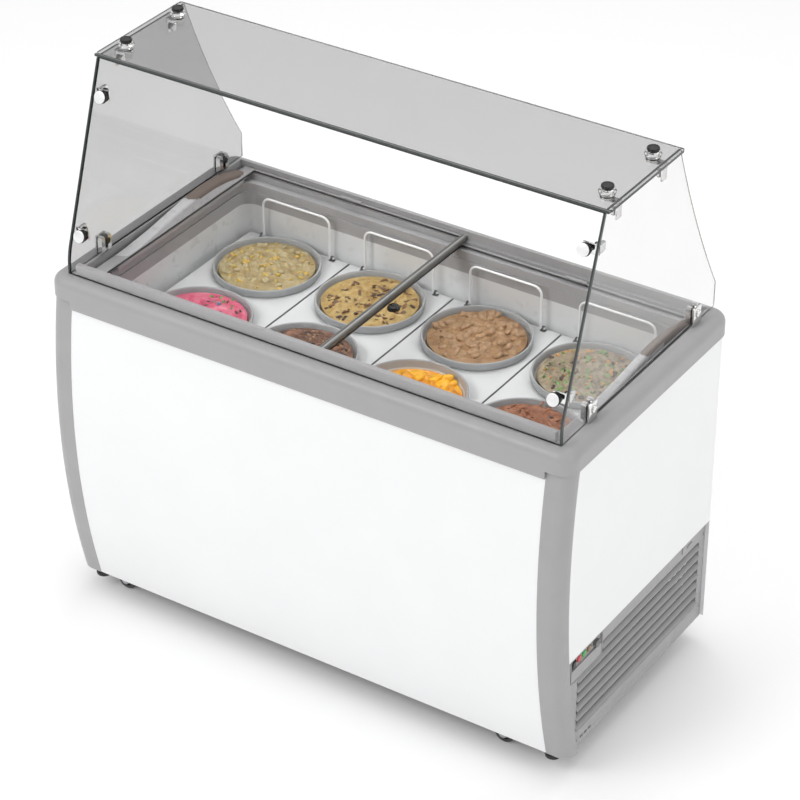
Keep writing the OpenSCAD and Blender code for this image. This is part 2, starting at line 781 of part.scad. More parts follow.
// Outlet of the defrost drain with its screw-in plug
module drain_plug() color("dimgray") {
    translate([-200, 0, 40]) cylinder(h = 16, r = 14);
    translate([-200, 0, 34]) cylinder(h = 6 + eps, r = 17);
}

module cable_gland() color("black") {
    difference() {
        union() {
            rod_y(540, back_y - 8, back_y + 10, 84, 8.8);
            rod_y(540, back_y, back_y + 4, 84, 13);
        }
        rod_y(540, back_y - 9, back_y + 11, 84, 4.5);
    }
}

// ---- Castors ----

plate_z = 53;
fork_z = 50;
pin_r = 5;
axle_r = 4;
cheek_y = 13;
module at_castor(s, y) {
    translate([s * castor_x, y, 0]) children();
}

module castor_plates() color("silver")
    for (s = [-1, 1], y = castor_ys)
        at_castor(s, y) {
            difference() {
                plate(-30, 30, -26, 26, plate_z, 56, 4);
                for (a = [-1, 1], b = [-1, 1])
                    translate([a * 23, b * 19, plate_z - 1]) cylinder(h = 9, r = 3);
            }
            translate([0, 0, 44]) cylinder(h = plate_z - 44 + eps, r = pin_r);
            translate([0, 0, 43]) cylinder(h = 3.4, r = 8);
            translate([0, 0, 50.6]) cylinder(h = 2.5, r = 12);
        }

module castor_fork() {
    difference() {
        union() {
            translate([0, 0, 47]) cylinder(h = 3, r = 18);
            box([-trail - 12, -cheek_y - 2.5, 47], [0, cheek_y + 2.5, 50]);
            for (s = [-1, 1])
                translate([0, s * (cheek_y + 1.25), 0]) rotate([90, 0, 0])
                    translate([0, 0, -1.25]) linear_extrude(2.5) {
                        translate([-trail, wheel_r]) circle(9);
                        polygon([[-trail - 9, wheel_r], [-trail + 9, wheel_r], [-12, 48], [-trail - 12, 48]]);
                    }
        }
        translate([0, 0, 40]) cylinder(h = 20, r = pin_r + 0.06);
        rod_y(-trail, -30, 30, wheel_r, axle_r + 0.04);
    }
    rod_y(-trail, -cheek_y - 3, cheek_y + 3, wheel_r, axle_r);
    for (s = [-1, 1])
        rod_y(-trail, min(s * (cheek_y + 2.5), s * (cheek_y + 5)), max(s * (cheek_y + 2.5), s * (cheek_y + 5)),
            wheel_r, 6.5);
}

module castor_wheel() {
    translate([-trail, 0, wheel_r]) rotate([90, 0, 0]) difference() {
        rotate_extrude() {
            translate([5, -11.5]) square([2, 23]);
            translate([6, -7]) square([10, 14]);
            translate([15, -10.5]) square([wheel_r - 18, 21]);
            translate([wheel_r - 3, -8]) square([3, 16]);
            for (s = [-1, 1])
                translate([wheel_r - 3, s * 7.8]) circle(2.7);
        }
        cylinder(h = 40, r = axle_r + 0.06, center = true);
    }
}

brake_x = -64;
brake_z = 42;
module castor_brake() {
    rod_y(brake_x, -8, 8, brake_z, 3.5);
    rod_y(brake_x, -10, 10, brake_z, 0.95);
    translate([brake_x, -8, brake_z]) {
        rotate([0, 8, 0]) translate([-24, 0, -1]) cube([24, 16, 2.5]);
        rotate([0, 58, 0]) translate([0, 2, -1.2]) cube([7.2, 12, 2.4]);
    }
}

// Ears on the fork that carry the brake lever
module brake_ears() {
    for (s = [-1, 1])
        difference() {
            box([-trail - 28, s > 0 ? 8.4 : -10.4, 39], [-trail - 19, s > 0 ? 10.4 : -8.4, 50]);
            rod_y(brake_x, -20, 20, brake_z, 1);
        }
    box([-trail - 28, -10.4, 48], [-trail - 11, 10.4, 50]);
}

module castor_fork_fl() color("silver") at_castor(-1, castor_ys[0]) { castor_fork(); brake_ears(); }
module castor_fork_fr() color("silver") at_castor(1, castor_ys[0]) { castor_fork(); brake_ears(); }
module castor_fork_rl() color("silver") at_castor(-1, castor_ys[1]) castor_fork();
module castor_fork_rr() color("silver") at_castor(1, castor_ys[1]) castor_fork();
module castor_wheel_fl() color("dimgray") at_castor(-1, castor_ys[0]) castor_wheel();
module castor_wheel_fr() color("dimgray") at_castor(1, castor_ys[0]) castor_wheel();
module castor_wheel_rl() color("dimgray") at_castor(-1, castor_ys[1]) castor_wheel();
module castor_wheel_rr() color("dimgray") at_castor(1, castor_ys[1]) castor_wheel();
module castor_brake_fl() color("black") at_castor(-1, castor_ys[0]) castor_brake();
module castor_brake_fr() color("black") at_castor(1, castor_ys[0]) castor_brake();

base_pan();
front_panel();
left_side_panel();
right_side_panel();
back_panel();
front_posts();
liner();
foam_insulation();
top_frame();
front_glass_channel();
lid_track_frame();
condenser_grille();
grille_screws();
control_panel();
power_rocker();
indicator_lamps();
thermostat_knob();
thermostat_body();
compressor();
compressor_mounts();
terminal_box();
condenser_coil();
fan_shroud();
fan_motor();
condenser_fan();
refrigerant_lines();
evaporator_tube();
drip_tray();
drain_plug();
cable_gland();
castor_plates();
castor_fork_fl();
castor_fork_fr();
castor_fork_rl();
castor_fork_rr();
castor_wheel_fl();
castor_wheel_fr();
castor_wheel_rl();
castor_wheel_rr();
castor_brake_fl();
castor_brake_fr();
left_lid_glass();
left_lid_frame();
left_lid_grip();
right_lid_glass();
right_lid_frame();
right_lid_grip();
lid_lock();
tub_racks();
tubs();
ice_cream();
rack_handle_1();
rack_handle_2();
rack_handle_3();
rack_handle_4();
top_glass();
front_glass();
side_glasses();
glass_clamps();
clamp_caps();
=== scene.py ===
"""Ice cream dipping cabinet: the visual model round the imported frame. Metres, +Z up, customer at -Y."""
import math
import random

import bmesh
import bpy
from mathutils import Matrix, Vector, noise


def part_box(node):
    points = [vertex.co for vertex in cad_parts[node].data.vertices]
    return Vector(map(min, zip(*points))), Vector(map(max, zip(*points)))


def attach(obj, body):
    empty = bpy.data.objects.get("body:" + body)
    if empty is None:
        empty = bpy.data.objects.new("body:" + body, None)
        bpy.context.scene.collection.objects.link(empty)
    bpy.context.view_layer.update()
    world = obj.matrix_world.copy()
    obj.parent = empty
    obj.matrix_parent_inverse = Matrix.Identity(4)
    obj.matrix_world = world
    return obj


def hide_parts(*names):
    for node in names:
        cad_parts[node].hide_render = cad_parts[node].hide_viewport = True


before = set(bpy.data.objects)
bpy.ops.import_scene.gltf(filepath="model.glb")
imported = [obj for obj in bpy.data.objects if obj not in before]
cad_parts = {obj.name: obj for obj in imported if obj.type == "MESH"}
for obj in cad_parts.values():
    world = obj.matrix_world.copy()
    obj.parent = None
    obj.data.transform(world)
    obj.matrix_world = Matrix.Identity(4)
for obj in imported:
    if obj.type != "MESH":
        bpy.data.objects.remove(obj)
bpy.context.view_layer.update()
MM = 0.001
scene = bpy.context.scene

# ---------------------------------------------------------------- materials


def srgb(r, g, b):
    """Linear colour from 0-255 display values."""
    def lin(c):
        c /= 255.0
        return c / 12.92 if c <= 0.04045 else ((c + 0.055) / 1.055) ** 2.4
    return (lin(r), lin(g), lin(b))


def set_stops(ramp, stops):
    """Puts (place, colour) stops on a colour ramp."""
    while len(ramp.elements) < len(stops):
        ramp.elements.new(0.5)
    for e, (place, col) in zip(ramp.elements, stops):
        e.position = place
        e.color = (*col, 1)


class Mat:
    """A Principled material with chained helpers for pattern nodes in object coordinates."""

    def __init__(self, name, color=(0.8, 0.8, 0.8, 1), rough=0.5, metal=0.0, **sockets):
        self.m = bpy.data.materials.new(name)
        self.m.use_nodes = True
        self.nt = self.m.node_tree
        self.p = self.nt.nodes["Principled BSDF"]
        self.out = self.nt.nodes["Material Output"]
        self.p.inputs["Base Color"].default_value = color
        self.p.inputs["Roughness"].default_value = rough
        self.p.inputs["Metallic"].default_value = metal
        for k, v in sockets.items():
            self.p.inputs[k.replace("_", " ")].default_value = v
        self.color = color
        self.rough = rough
        self.coord = self.nt.nodes.new("ShaderNodeTexCoord").outputs["Object"]
        self.height = None

    def node(self, kind, **sockets):
        """New node of a kind, with those sockets set."""
        n = self.nt.nodes.new("ShaderNode" + kind)
        for k, v in sockets.items():
            n.inputs[k.replace("_", " ")].default_value = v
        return n

    def link(self, a, b):
        self.nt.links.new(a, b)

    def mapped(self, scale=(1, 1, 1)):
        n = self.node("Mapping", Scale=scale)
        self.link(self.coord, n.inputs["Vector"])
        return n.outputs["Vector"]

    def noise(self, scale, detail=3.0, rough=0.55, stretch=(1, 1, 1), distort=0.0):
        n = self.node("TexNoise", Scale=scale, Detail=detail, Roughness=rough, Distortion=distort)
        self.link(self.mapped(stretch), n.inputs["Vector"])
        return n.outputs["Fac"]

    def voronoi(self, scale, output="Distance"):
        n = self.node("TexVoronoi", Scale=scale)
        self.link(self.mapped(), n.inputs["Vector"])
        return n.outputs[output]

    def ramp(self, fac, stops):
        n = self.node("ValToRGB")
        set_stops(n.color_ramp, stops)
        self.link(fac, n.inputs["Fac"])
        return n.outputs["Color"]

    def grey(self, fac, lo, hi):
        """The middle of a pattern spread over lo to hi."""
        n = self.node("MapRange", From_Min=0.3, From_Max=0.7, To_Min=lo, To_Max=hi)
        self.link(fac, n.inputs["Value"])
        return n.outputs["Result"]

    def set_color(self, out):
        self.link(out, self.p.inputs["Base Color"])
        return self

    def vary_color(self, scale, amount=0.06):
        """Cloudy lightness changes round the base colour."""
        c = self.color
        lo = tuple(v * (1 - amount) for v in c[:3])
        hi = tuple(min(1.0, v * (1 + amount)) for v in c[:3])
        return self.set_color(self.ramp(self.noise(scale, 4.0), [(0.3, lo), (0.7, hi)]))

    def vary_rough(self, scale, amount=0.12, stretch=(1, 1, 1)):
        """Smears and wear: uneven roughness."""
        r = self.rough
        f = self.noise(scale, 4.0, stretch=stretch)
        self.link(self.grey(f, max(0.02, r - amount), min(1, r + amount)), self.p.inputs["Roughness"])
        return self

    def bump(self, height, strength, distance):
        """Fine relief in metres, laid over any relief that is there."""
        n = self.node("Bump", Strength=strength, Distance=distance)
        self.link(height, n.inputs["Height"])
        if self.height is not None:
            self.link(self.height, n.inputs["Normal"])
        self.height = n.outputs["Normal"]
        self.link(self.height, self.p.inputs["Normal"])
        return self


M = {}


def surface(name, color, rough, metal=0.0, cloud=None, wear=None, grain=None, **sockets):
    """Opaque material: cloud is (scale, amount) of colour, wear of roughness, grain a noise bump
    (scale, detail, strength, distance)."""
    m = Mat(name, (*color, 1), rough, metal, **sockets)
    if cloud:
        m.vary_color(*cloud)
    if wear:
        m.vary_rough(*wear)
    if grain:
        m.bump(m.noise(*grain[:2]), *grain[2:])
    M[name] = m
    return m


def glassy(key, name, tint, ior, lamps=1.0):
    """Clear glass: bends and mirrors for the eye, and passes a share of the lamps' light."""
    mt = Mat(name, (*tint, 1), 0.0, 0.0, Transmission_Weight=1.0, IOR=ior)
    mt.vary_color(5, 0.012)
    trans = mt.node("BsdfTransparent", Color=(lamps, lamps, lamps, 1))
    path = mt.node("LightPath")
    mix = mt.node("MixShader")
    mt.link(path.outputs["Is Shadow Ray"], mix.inputs[0])
    mt.link(mt.p.outputs[0], mix.inputs[1])
    mt.link(trans.outputs[0], mix.inputs[2])
    mt.link(mix.outputs[0], mt.out.inputs["Surface"])
    M[key] = mt


def make_paints_and_plastics():
    surface("white_paint", (0.84, 0.845, 0.85), 0.32, 0, (6, 0.01), (25, 0.03), (900, 2, 0.03, 0.0001),
            Coat_Weight=0.15, Coat_Roughness=0.15)
    surface("grey_moulding", (0.355, 0.35, 0.353), 0.40, 0, (14, 0.025), (60, 0.07), (1400, 2, 0.12, 0.0003))
    surface("grille_grey", (0.36, 0.355, 0.36), 0.45, 0, (30, 0.04), (80, 0.08), (1600, 2, 0.14, 0.0003))
    surface("grey_track", (0.34, 0.335, 0.338), 0.42, 0, (18, 0.03), (70, 0.08), (1300, 2, 0.1, 0.0003))
    surface("bar_grey", (0.14, 0.138, 0.13), 0.4, 0, (40, 0.06), None, (1300, 2, 0.1, 0.0003))
    surface("bar_core", (0.36, 0.36, 0.35), 0.35, 0, (40, 0.04), None, (1300, 2, 0.08, 0.0003))
    surface("handle_grey", (0.52, 0.52, 0.53), 0.3, 0, (20, 0.02), (60, 0.06), (1500, 2, 0.06, 0.0003))
    surface("liner_paint", (0.66, 0.665, 0.665), 0.3, 0, (10, 0.02), (30, 0.06), (700, 3, 0.08, 0.0004),
            Coat_Weight=0.1, Coat_Roughness=0.2)
    surface("rack_white", (0.64, 0.645, 0.645), 0.34, 0, (12, 0.015), (40, 0.06), (900, 2, 0.06, 0.0004),
            Coat_Weight=0.1, Coat_Roughness=0.2)
    surface("wire_white", (0.8, 0.805, 0.81), 0.28, 0, (60, 0.02), None, (1200, 2, 0.05, 0.0003),
            Coat_Weight=0.2, Coat_Roughness=0.15)
    surface("lug_grey", (0.07, 0.07, 0.068), 0.45, 0, (90, 0.1), None, (1500, 2, 0.12, 0.0003))
    surface("tub_plastic", (0.36, 0.365, 0.37), 0.36, 0, (20, 0.03), (60, 0.08), (900, 3, 0.08, 0.0004))
    surface("black_plastic", (0.012, 0.012, 0.012), 0.3, 0, None, (90, 0.1), (1300, 2, 0.1, 0.0003))
    surface("knob_grey", (0.16, 0.16, 0.155), 0.4, 0, (80, 0.08))
    # black rubber for seals, mounts and feet, and also the painted shade in the screws' cross recesses
    surface("rubber_black", (0.02, 0.02, 0.02), 0.7, 0, (60, 0.15), None, (900, 3, 0.2, 0.0004))
    surface("black_enamel", (0.018, 0.018, 0.02), 0.26, 0, None, (70, 0.1), (450, 3, 0.12, 0.0004))
    # dark trim for the terminal box, drip tray and drain plug, and also the painted shade strip between the
    # racks
    surface("dark_trim", (0.085, 0.085, 0.09), 0.45, 0, (50, 0.08), None, (1300, 2, 0.12, 0.0003))
    surface("panel_recess", (0.36, 0.355, 0.36), 0.5, 0, (60, 0.06), None, (1500, 2, 0.15, 0.0003))
    surface("ivory", (0.7, 0.66, 0.56), 0.4, 0, (50, 0.04), None, (1300, 2, 0.1, 0.0003))
    surface("castor_tread", (0.055, 0.055, 0.058), 0.5, 0, (70, 0.12), None, (900, 3, 0.15, 0.0004))
    m = surface("tub_inner", (0.72, 0.70, 0.66), 0.4)
    m.set_color(m.ramp(m.noise(22, 4), [(0.35, (0.74, 0.72, 0.68)), (0.75, (0.64, 0.58, 0.50))]))
    m.bump(m.noise(300, 4), 0.1, 0.0006)
    m = surface("taupe_grip", srgb(112, 99, 91), 0.55, 0, (30, 0.06))
    m.bump(m.voronoi(700), 0.25, 0.0004)
    m = surface("foam", (0.72, 0.60, 0.36), 0.85, 0, (60, 0.12))
    m.bump(m.voronoi(380), 0.5, 0.001)
    for name, color in (("lamp_red", (0.50, 0.008, 0.01)), ("lamp_green", (0.01, 0.30, 0.03)),
                        ("lamp_amber", (0.16, 0.075, 0.01))):
        m = surface(name, color, 0.18, 0, (200, 0.15), Coat_Weight=0.6, Coat_Roughness=0.05)
        m.bump(m.voronoi(500), 0.1, 0.0005)


def make_metals():
    surface("chrome", (0.80, 0.80, 0.79), 0.08, 1, None, (160, 0.05), (300, 3, 0.02, 0.0003))
    surface("button_face", (0.90, 0.90, 0.90), 0.45, 0.55, (90, 0.05))
    surface("clamp_dark", (0.05, 0.05, 0.05), 0.18, 0.8, (90, 0.1))
    surface("screw_steel", (0.45, 0.45, 0.45), 0.3, 1, None, (200, 0.12))
    surface("aluminium", (0.62, 0.63, 0.64), 0.32, 1, (50, 0.08), None, (700, 3, 0.08, 0.0002))
    m = surface("zinc", (0.52, 0.53, 0.54), 0.34, 1, None, (120, 0.1), (500, 3, 0.06, 0.0003))
    m.set_color(m.ramp(m.voronoi(90, output="Color"), [(0.2, (0.46, 0.47, 0.49)), (0.8, (0.60, 0.60, 0.60))]))
    m = surface("bare_steel", (0.5, 0.5, 0.5), 0.3, 1)
    m.vary_rough(300, 0.12, stretch=(1, 1, 14)).bump(m.noise(600, 2, stretch=(1, 1, 12)), 0.05, 0.0002)
    m = surface("copper", (0.72, 0.36, 0.22), 0.3, 1, None, (90, 0.12))
    m.set_color(m.ramp(m.noise(40, 5), [(0.3, (0.55, 0.25, 0.15)), (0.7, (0.80, 0.42, 0.26))]))


def make_glasses():
    glassy("guard_glass", "guard_glass", (0.90, 0.90, 0.90), 1.3, 0.97)
    # left side glass: the same glass as the right one, with its tint lowered from 0.90 to 0.60 as painted
    # shade
    glassy("guard_glass_left_painted_shade", "guard_glass_left_painted_shade", (0.60, 0.60, 0.60), 1.3, 0.97)
    glassy("top_glass", "top_glass_tint", (0.58, 0.58, 0.58), 1.3, 0.97)
    glassy("front_glass", "front_glass_clear", (0.99, 0.992, 0.992), 1.08)
    glassy("lid_glass", "lid_glass_clear", (0.985, 0.988, 0.988), 1.06)
    # glass edge colours: the greenish tint of glass seen edge-on, made darker as painted shade for the dark
    # line that refraction gives at an edge
    surface("glass_edge", (0.06, 0.068, 0.068), 0.15, 0, (120, 0.15), Transmission_Weight=0.25, IOR=1.46)
    surface("glass_edge_pale", (0.30, 0.33, 0.32), 0.15, 0, (120, 0.1), Transmission_Weight=0.5, IOR=1.46)
    surface("glass_edge_grey", (0.22, 0.225, 0.225), 0.2, 0, (120, 0.1), Transmission_Weight=0.35, IOR=1.46)


make_paints_and_plastics()
make_metals()
make_glasses()

# ---------------------------------------------------------------- mesh helpers


def put(name, data):
    """New object in the scene."""
    ob = bpy.data.objects.new(name, data)
    scene.collection.objects.link(ob)
    return ob


def mesh_of(name, bm):
    """Mesh made from a bmesh, which is used up."""
    me = bpy.data.meshes.new(name)
    bm.to_mesh(me)
    bm.free()
    return me


def smooth(me, angle):
    """Smooth shading, sharp at edges over angle."""
    me.polygons.foreach_set("use_smooth", [True] * len(me.polygons))
    me.set_sharp_from_angle(angle=math.radians(angle))


def finish_obj(name, bm, mats, body="cabinet", replaces=(), angle=35.0, recalc=True):
    """Turns a bmesh into a piece with smooth shading under angle, riding on body."""
    if recalc:
        bmesh.ops.recalc_face_normals(bm, faces=bm.faces[:])
    me = mesh_of(name, bm)
    smooth(me, angle)
    ob = put(name, me)
    for mt in mats if isinstance(mats, (list, tuple)) else [mats]:
        me.materials.append(M[mt].m if isinstance(mt, str) else mt)
    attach(ob, body)
    if replaces:
        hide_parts(*([replaces] if isinstance(replaces, str) else replaces))
    return ob


def soft_box(bm, lo, hi, bevel=0.001, segs=2, mat=0):
    """Box between two corners with rounded edges."""
    lo, hi = Vector(lo), Vector(hi)
    lo, hi = Vector(map(min, lo, hi)), Vector(map(max, lo, hi))
    tmp = bmesh.new()
    bmesh.ops.create_cube(tmp, size=1.0)
    for v in tmp.verts:
        v.co = Vector(((lo[i] + hi[i]) / 2 + v.co[i] * (hi[i] - lo[i]) for i in range(3)))
    b = min(bevel, 0.49 * min(hi - lo))
    bmesh.ops.bevel(tmp, geom=tmp.edges[:], offset=b, segments=segs, affect="EDGES", profile=0.5)
    merge(bm, tmp, mat)


def merge(bm, tmp, mat=0):
    """Moves everything in tmp into bm, with one material."""
    for f in tmp.faces:
        f.material_index = mat
    me = mesh_of("_tmp", tmp)
    bm.from_mesh(me)
    bpy.data.meshes.remove(me)


def circle(n):
    """Angles of n equal steps round a circle."""
    return [2 * math.pi * i / n for i in range(n)]


def skin(bm, a, b, mat=0):
    """Faces between two closed rings of corners."""
    faces = []
    for i in range(len(a)):
        j = (i + 1) % len(a)
        faces.append(bm.faces.new([a[i], a[j], b[j], b[i]]))
        faces[-1].material_index = mat
    return faces


def spin(bm, rings, mat=0):
    """Faces along rings of corners round one axis. A ring may be a single point."""
    for a, b in zip(rings, rings[1:]):
        n = max(len(a), len(b))
        for i in range(n):
            j = (i + 1) % n
            if len(a) == 1:
                f = [a[0], b[i], b[j]]
            elif len(b) == 1:
                f = [a[i], b[0], a[j]]
            else:
                f = [a[i], b[i], b[j], a[j]]
            bm.faces.new(f).material_index = mat


def lathe(bm, profile, matrix, segs, mat=0):
    """Turns (radius, height) points about +Z. A radius of 0 closes with a point."""
    rings = []
    for r, z in profile:
        spots = [(r * math.cos(a), r * math.sin(a), z) for a in circle(segs)] if r > 1e-7 else [(0, 0, z)]
        rings.append([bm.verts.new(matrix @ Vector(p)) for p in spots])
    spin(bm, rings, mat)


def disc(bm, r, h, b, origin, axis, segs, mat=0):
    """Disc with rounded rims that stands on origin and points along axis."""
    lathe(bm, rounded_disc(r, h, b), frame_at(origin, axis), segs, mat)


def frame_at(origin, z_axis):
    """Matrix whose +Z is z_axis, at origin."""
    z = Vector(z_axis).normalized()
    x = Vector((1, 0, 0))
    x = x - z * x.dot(z)
    if x.length < 1e-6:
        x = Vector((0, 1, 0)) - z * z.y
    x.normalize()
    y = z.cross(x)
    m = Matrix((x, y, z)).transposed().to_4x4()
    m.translation = Vector(origin)
    return m


def quarter(n):
    """Angles of a quarter turn in n steps."""
    return [math.pi / 2 * i / n for i in range(n + 1)]


def rounded_disc(r, h, b):
    """Profile of a disc of radius r and height h with its rims rounded by b, closed on the axis."""
    foot = [(r - b + b * math.sin(a), b - b * math.cos(a)) for a in quarter(4)]
    head = [(r - b + b * math.cos(a), h - b + b * math.sin(a)) for a in quarter(4)]
    return [(0, 0)] + foot + head + [(0, h)]


def tube(bm, pts, r, segs):
    """Round tube along points, with frames carried along so that it doesn't twist."""
    pts = [Vector(p) for p in pts]
    n = len(pts)
    tang = []
    for i in range(n):
        a = pts[max(i - 1, 0)]
        b = pts[min(i + 1, n - 1)]
        tang.append((b - a).normalized())
    up = Vector((0, 0, 1)) if abs(tang[0].z) < 0.9 else Vector((1, 0, 0))
    u = (up - tang[0] * up.dot(tang[0])).normalized()
    rings = []
    for i in range(n):
        u = (u - tang[i] * u.dot(tang[i])).normalized()
        v = tang[i].cross(u)
        rings.append([bm.verts.new(pts[i] + (u * math.cos(t) + v * math.sin(t)) * r) for t in circle(segs)])
    for a, b in zip(rings, rings[1:]):
        skin(bm, a, b)
    bm.faces.new(rings[0][::-1])
    bm.faces.new(rings[-1])


def prism(bm, outline, axis, lo, hi, mat_side=0, mat_cap=0):
    """Outline swept along axis from lo to hi. Its points are (y, z) for x, (x, z) for y, (x, y) for z."""
    def at(p, t):
        return {"x": (t, p[0], p[1]), "y": (p[0], t, p[1]), "z": (p[0], p[1], t)}[axis]
    a = [bm.verts.new(at(p, lo)) for p in outline]
    b = [bm.verts.new(at(p, hi)) for p in outline]
    skin(bm, a, b, mat_side)
    bm.faces.new(a[::-1]).material_index = mat_cap
    bm.faces.new(b).material_index = mat_cap


def bevel_all(bm, width, segs=2, angle=30):
    """Rounds every edge sharper than angle."""
    edges = [e for e in bm.edges if len(e.link_faces) == 2 and e.calc_face_angle(0) > math.radians(angle)]
    bmesh.ops.bevel(bm, geom=edges, offset=width, segments=segs, affect="EDGES", profile=0.5,
                    clamp_overlap=True)


def rounded_rect(x0, x1, y0, y1, r, n=6):
    """Outline of a rectangle with round corners, anticlockwise from the lower right."""
    pts = []
    corners = ((x1 - r, y0 + r, -90), (x1 - r, y1 - r, 0), (x0 + r, y1 - r, 90), (x0 + r, y0 + r, 180))
    for cx, cy, a0 in corners:
        for i in range(n + 1):
            a = math.radians(a0 + 90 * i / n)
            pts.append((cx + r * math.cos(a), cy + r * math.sin(a)))
    return pts


def dress(node, mat, angle=32.0):
    """A CAD node that stays: smooth shading and a finished material."""
    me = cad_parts[node].data
    me.materials.clear()
    me.materials.append(M[mat].m)
    smooth(me, angle)


# ---------------------------------------------------------------- stage, camera and light


def aim(ob, direction):
    """Turns a camera or lamp so that it looks along direction."""
    ob.rotation_mode = "QUATERNION"
    ob.rotation_quaternion = direction.to_track_quat("-Z", "Y")


def make_camera():
    """Long-lens view from the front right, above."""
    az, el = math.radians(33.01), math.radians(32.99)
    back = Vector((math.sin(az) * math.cos(el), -math.cos(az) * math.cos(el), math.sin(el)))
    cam_data = bpy.data.cameras.new("camera")
    cam_data.type = "PERSP"
    cam_data.sensor_width = 36.0
    cam_data.lens = 133.7
    cam = put("camera", cam_data)
    cam.location = (2.7564, -4.1859, 3.7889)
    aim(cam, -back)
    scene.camera = cam


def make_stage():
    bm = bmesh.new()
    bmesh.ops.create_grid(bm, x_segments=2, y_segments=2, size=30)
    ob = put("floor", mesh_of("floor", bm))
    m = Mat("floor_pale", (0.93, 0.93, 0.93, 1), 0.9, Specular_IOR_Level=0.1, Emission_Color=(1, 1, 1, 1),
            Emission_Strength=0.07)
    ob.data.materials.append(m.m)


def area(name, loc, target, size, power):
    """Rectangular lamp at loc, aimed at target."""
    d = bpy.data.lights.new(name, "AREA")
    d.shape = "RECTANGLE"
    d.size, d.size_y = size
    d.energy = power
    ob = put(name, d)
    ob.location = loc
    aim(ob, Vector(target) - Vector(loc))


def make_world():
    """White surroundings, and for mirror-like pieces a studio with dark flags between white screens."""
    w = bpy.data.worlds.new("studio")
    scene.world = w
    w.use_nodes = True
    nt = w.node_tree
    bg = nt.nodes["Background"]
    bg.inputs["Color"].default_value = (1, 1, 1, 1)
    bg.inputs["Strength"].default_value = 0.80
    geo = nt.nodes.new("ShaderNodeTexCoord")
    sep = nt.nodes.new("ShaderNodeSeparateXYZ")
    nt.links.new(geo.outputs["Generated"], sep.inputs[0])
    half = nt.nodes.new("ShaderNodeMath")
    half.operation = "MULTIPLY_ADD"
    half.inputs[1].default_value = 0.5
    half.inputs[2].default_value = 0.5
    nt.links.new(sep.outputs["Z"], half.inputs[0])
    ramp = nt.nodes.new("ShaderNodeValToRGB")
    nt.links.new(half.outputs[0], ramp.inputs["Fac"])
    # (share of the way up from straight down to straight up, brightness)
    bands = [(0.0, 0.9), (0.51, 0.95), (0.54, 0.14), (0.62, 0.10),
             (0.67, 0.9), (0.80, 1.0), (0.86, 0.3), (0.93, 1.0)]
    set_stops(ramp.color_ramp, [(p, (v, v, v)) for p, v in bands])
    screens = nt.nodes.new("ShaderNodeBackground")
    screens.inputs["Strength"].default_value = 0.85
    nt.links.new(ramp.outputs["Color"], screens.inputs["Color"])
    path = nt.nodes.new("ShaderNodeLightPath")
    mix = nt.nodes.new("ShaderNodeMixShader")
    nt.links.new(path.outputs["Is Glossy Ray"], mix.inputs[0])
    nt.links.new(bg.outputs[0], mix.inputs[1])
    nt.links.new(screens.outputs[0], mix.inputs[2])
    nt.links.new(mix.outputs[0], nt.nodes["World Output"].inputs["Surface"])


def make_light():
    """Soft studio light. Refracted light has to reach the glazed well, so those caustics stay on."""
    scene.view_settings.view_transform = "Standard"
    scene.view_settings.look = "None"
    area("key", (-1.6, -3.4, 3.6), (0, 0, 0.6), (2.4, 1.8), 62)
    area("fill_right", (4.2, -0.6, 2.6), (0.3, 0, 0.5), (2.0, 2.0), 22)
    area("top_soft", (0.0, 1.4, 4.2), (0, 0, 0.7), (2.6, 1.6), 34)
    scene.cycles.max_bounces = 24
    scene.cycles.transmission_bounces = 24
    scene.cycles.transparent_max_bounces = 32
    scene.cycles.caustics_reflective = False
    scene.cycles.caustics_refractive = True


make_camera()
make_stage()
make_world()
make_light()

# ---------------------------------------------------------------- CAD nodes that stay as they are

KEPT = {
    "zinc": "base_pan fan_shroud castor_plates",
    "white_paint": "front_panel left_side_panel right_side_panel back_panel",
    "grey_moulding": "front_posts top_frame front_glass_channel",
    "liner_paint": "liner",
    "foam": "foam_insulation",
    "grey_track": "lid_track_frame",
    "bare_steel": "thermostat_body",
    "black_enamel": "compressor fan_motor",
    "rubber_black": "compressor_mounts",
    "dark_trim": "terminal_box drip_tray drain_plug",
    "aluminium": "condenser_coil condenser_fan",
    "copper": "refrigerant_lines evaporator_tube",
    "black_plastic": "cable_gland castor_brake_fl castor_brake_fr lid_lock power_rocker",
    "knob_grey": "thermostat_knob",
}
for mt, nodes in KEPT.items():
    for n in nodes.split():
        dress(n, mt)
for c in ("fl", "fr", "rl", "rr"):
    dress("castor_fork_" + c, "zinc")
    dress("castor_wheel_" + c, "castor_tread")

# ---------------------------------------------------------------- shared measures

FRAME_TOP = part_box("top_frame")[1].z
GUARD_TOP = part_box("top_glass")[1].z
TOP_LO, TOP_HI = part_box("top_glass")
GLASS_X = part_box("side_glasses")[1].x
GLASS_T = 5 * MM
LEAN = math.radians(18.6)
FOOT_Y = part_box("front_glass")[0].y
BEND_Z, BEND_R = 0.802, 0.150
GUARD_Z1 = GUARD_TOP - 6 * MM


def lean_top(d, z):
    """Point (y, z) on the leaning part of the front glass, d in from its outer face."""
    y = FOOT_Y + BEND_R - (BEND_R - d) * math.cos(LEAN)
    z0 = BEND_Z + (BEND_R - d) * math.sin(LEAN)
    return (y + (z - z0) * math.tan(LEAN), z)


def lean_line(d, n=16):
    """Side outline of the front glass, d in from its outer face: foot, bend, then the lean."""
    pts = [(FOOT_Y + d, FRAME_TOP)]
    for i in range(n + 1):
        a = LEAN * i / n
        pts.append((FOOT_Y + BEND_R - (BEND_R - d) * math.cos(a), BEND_Z + (BEND_R - d) * math.sin(a)))
    pts.append(lean_top(d, GUARD_Z1))
    return pts


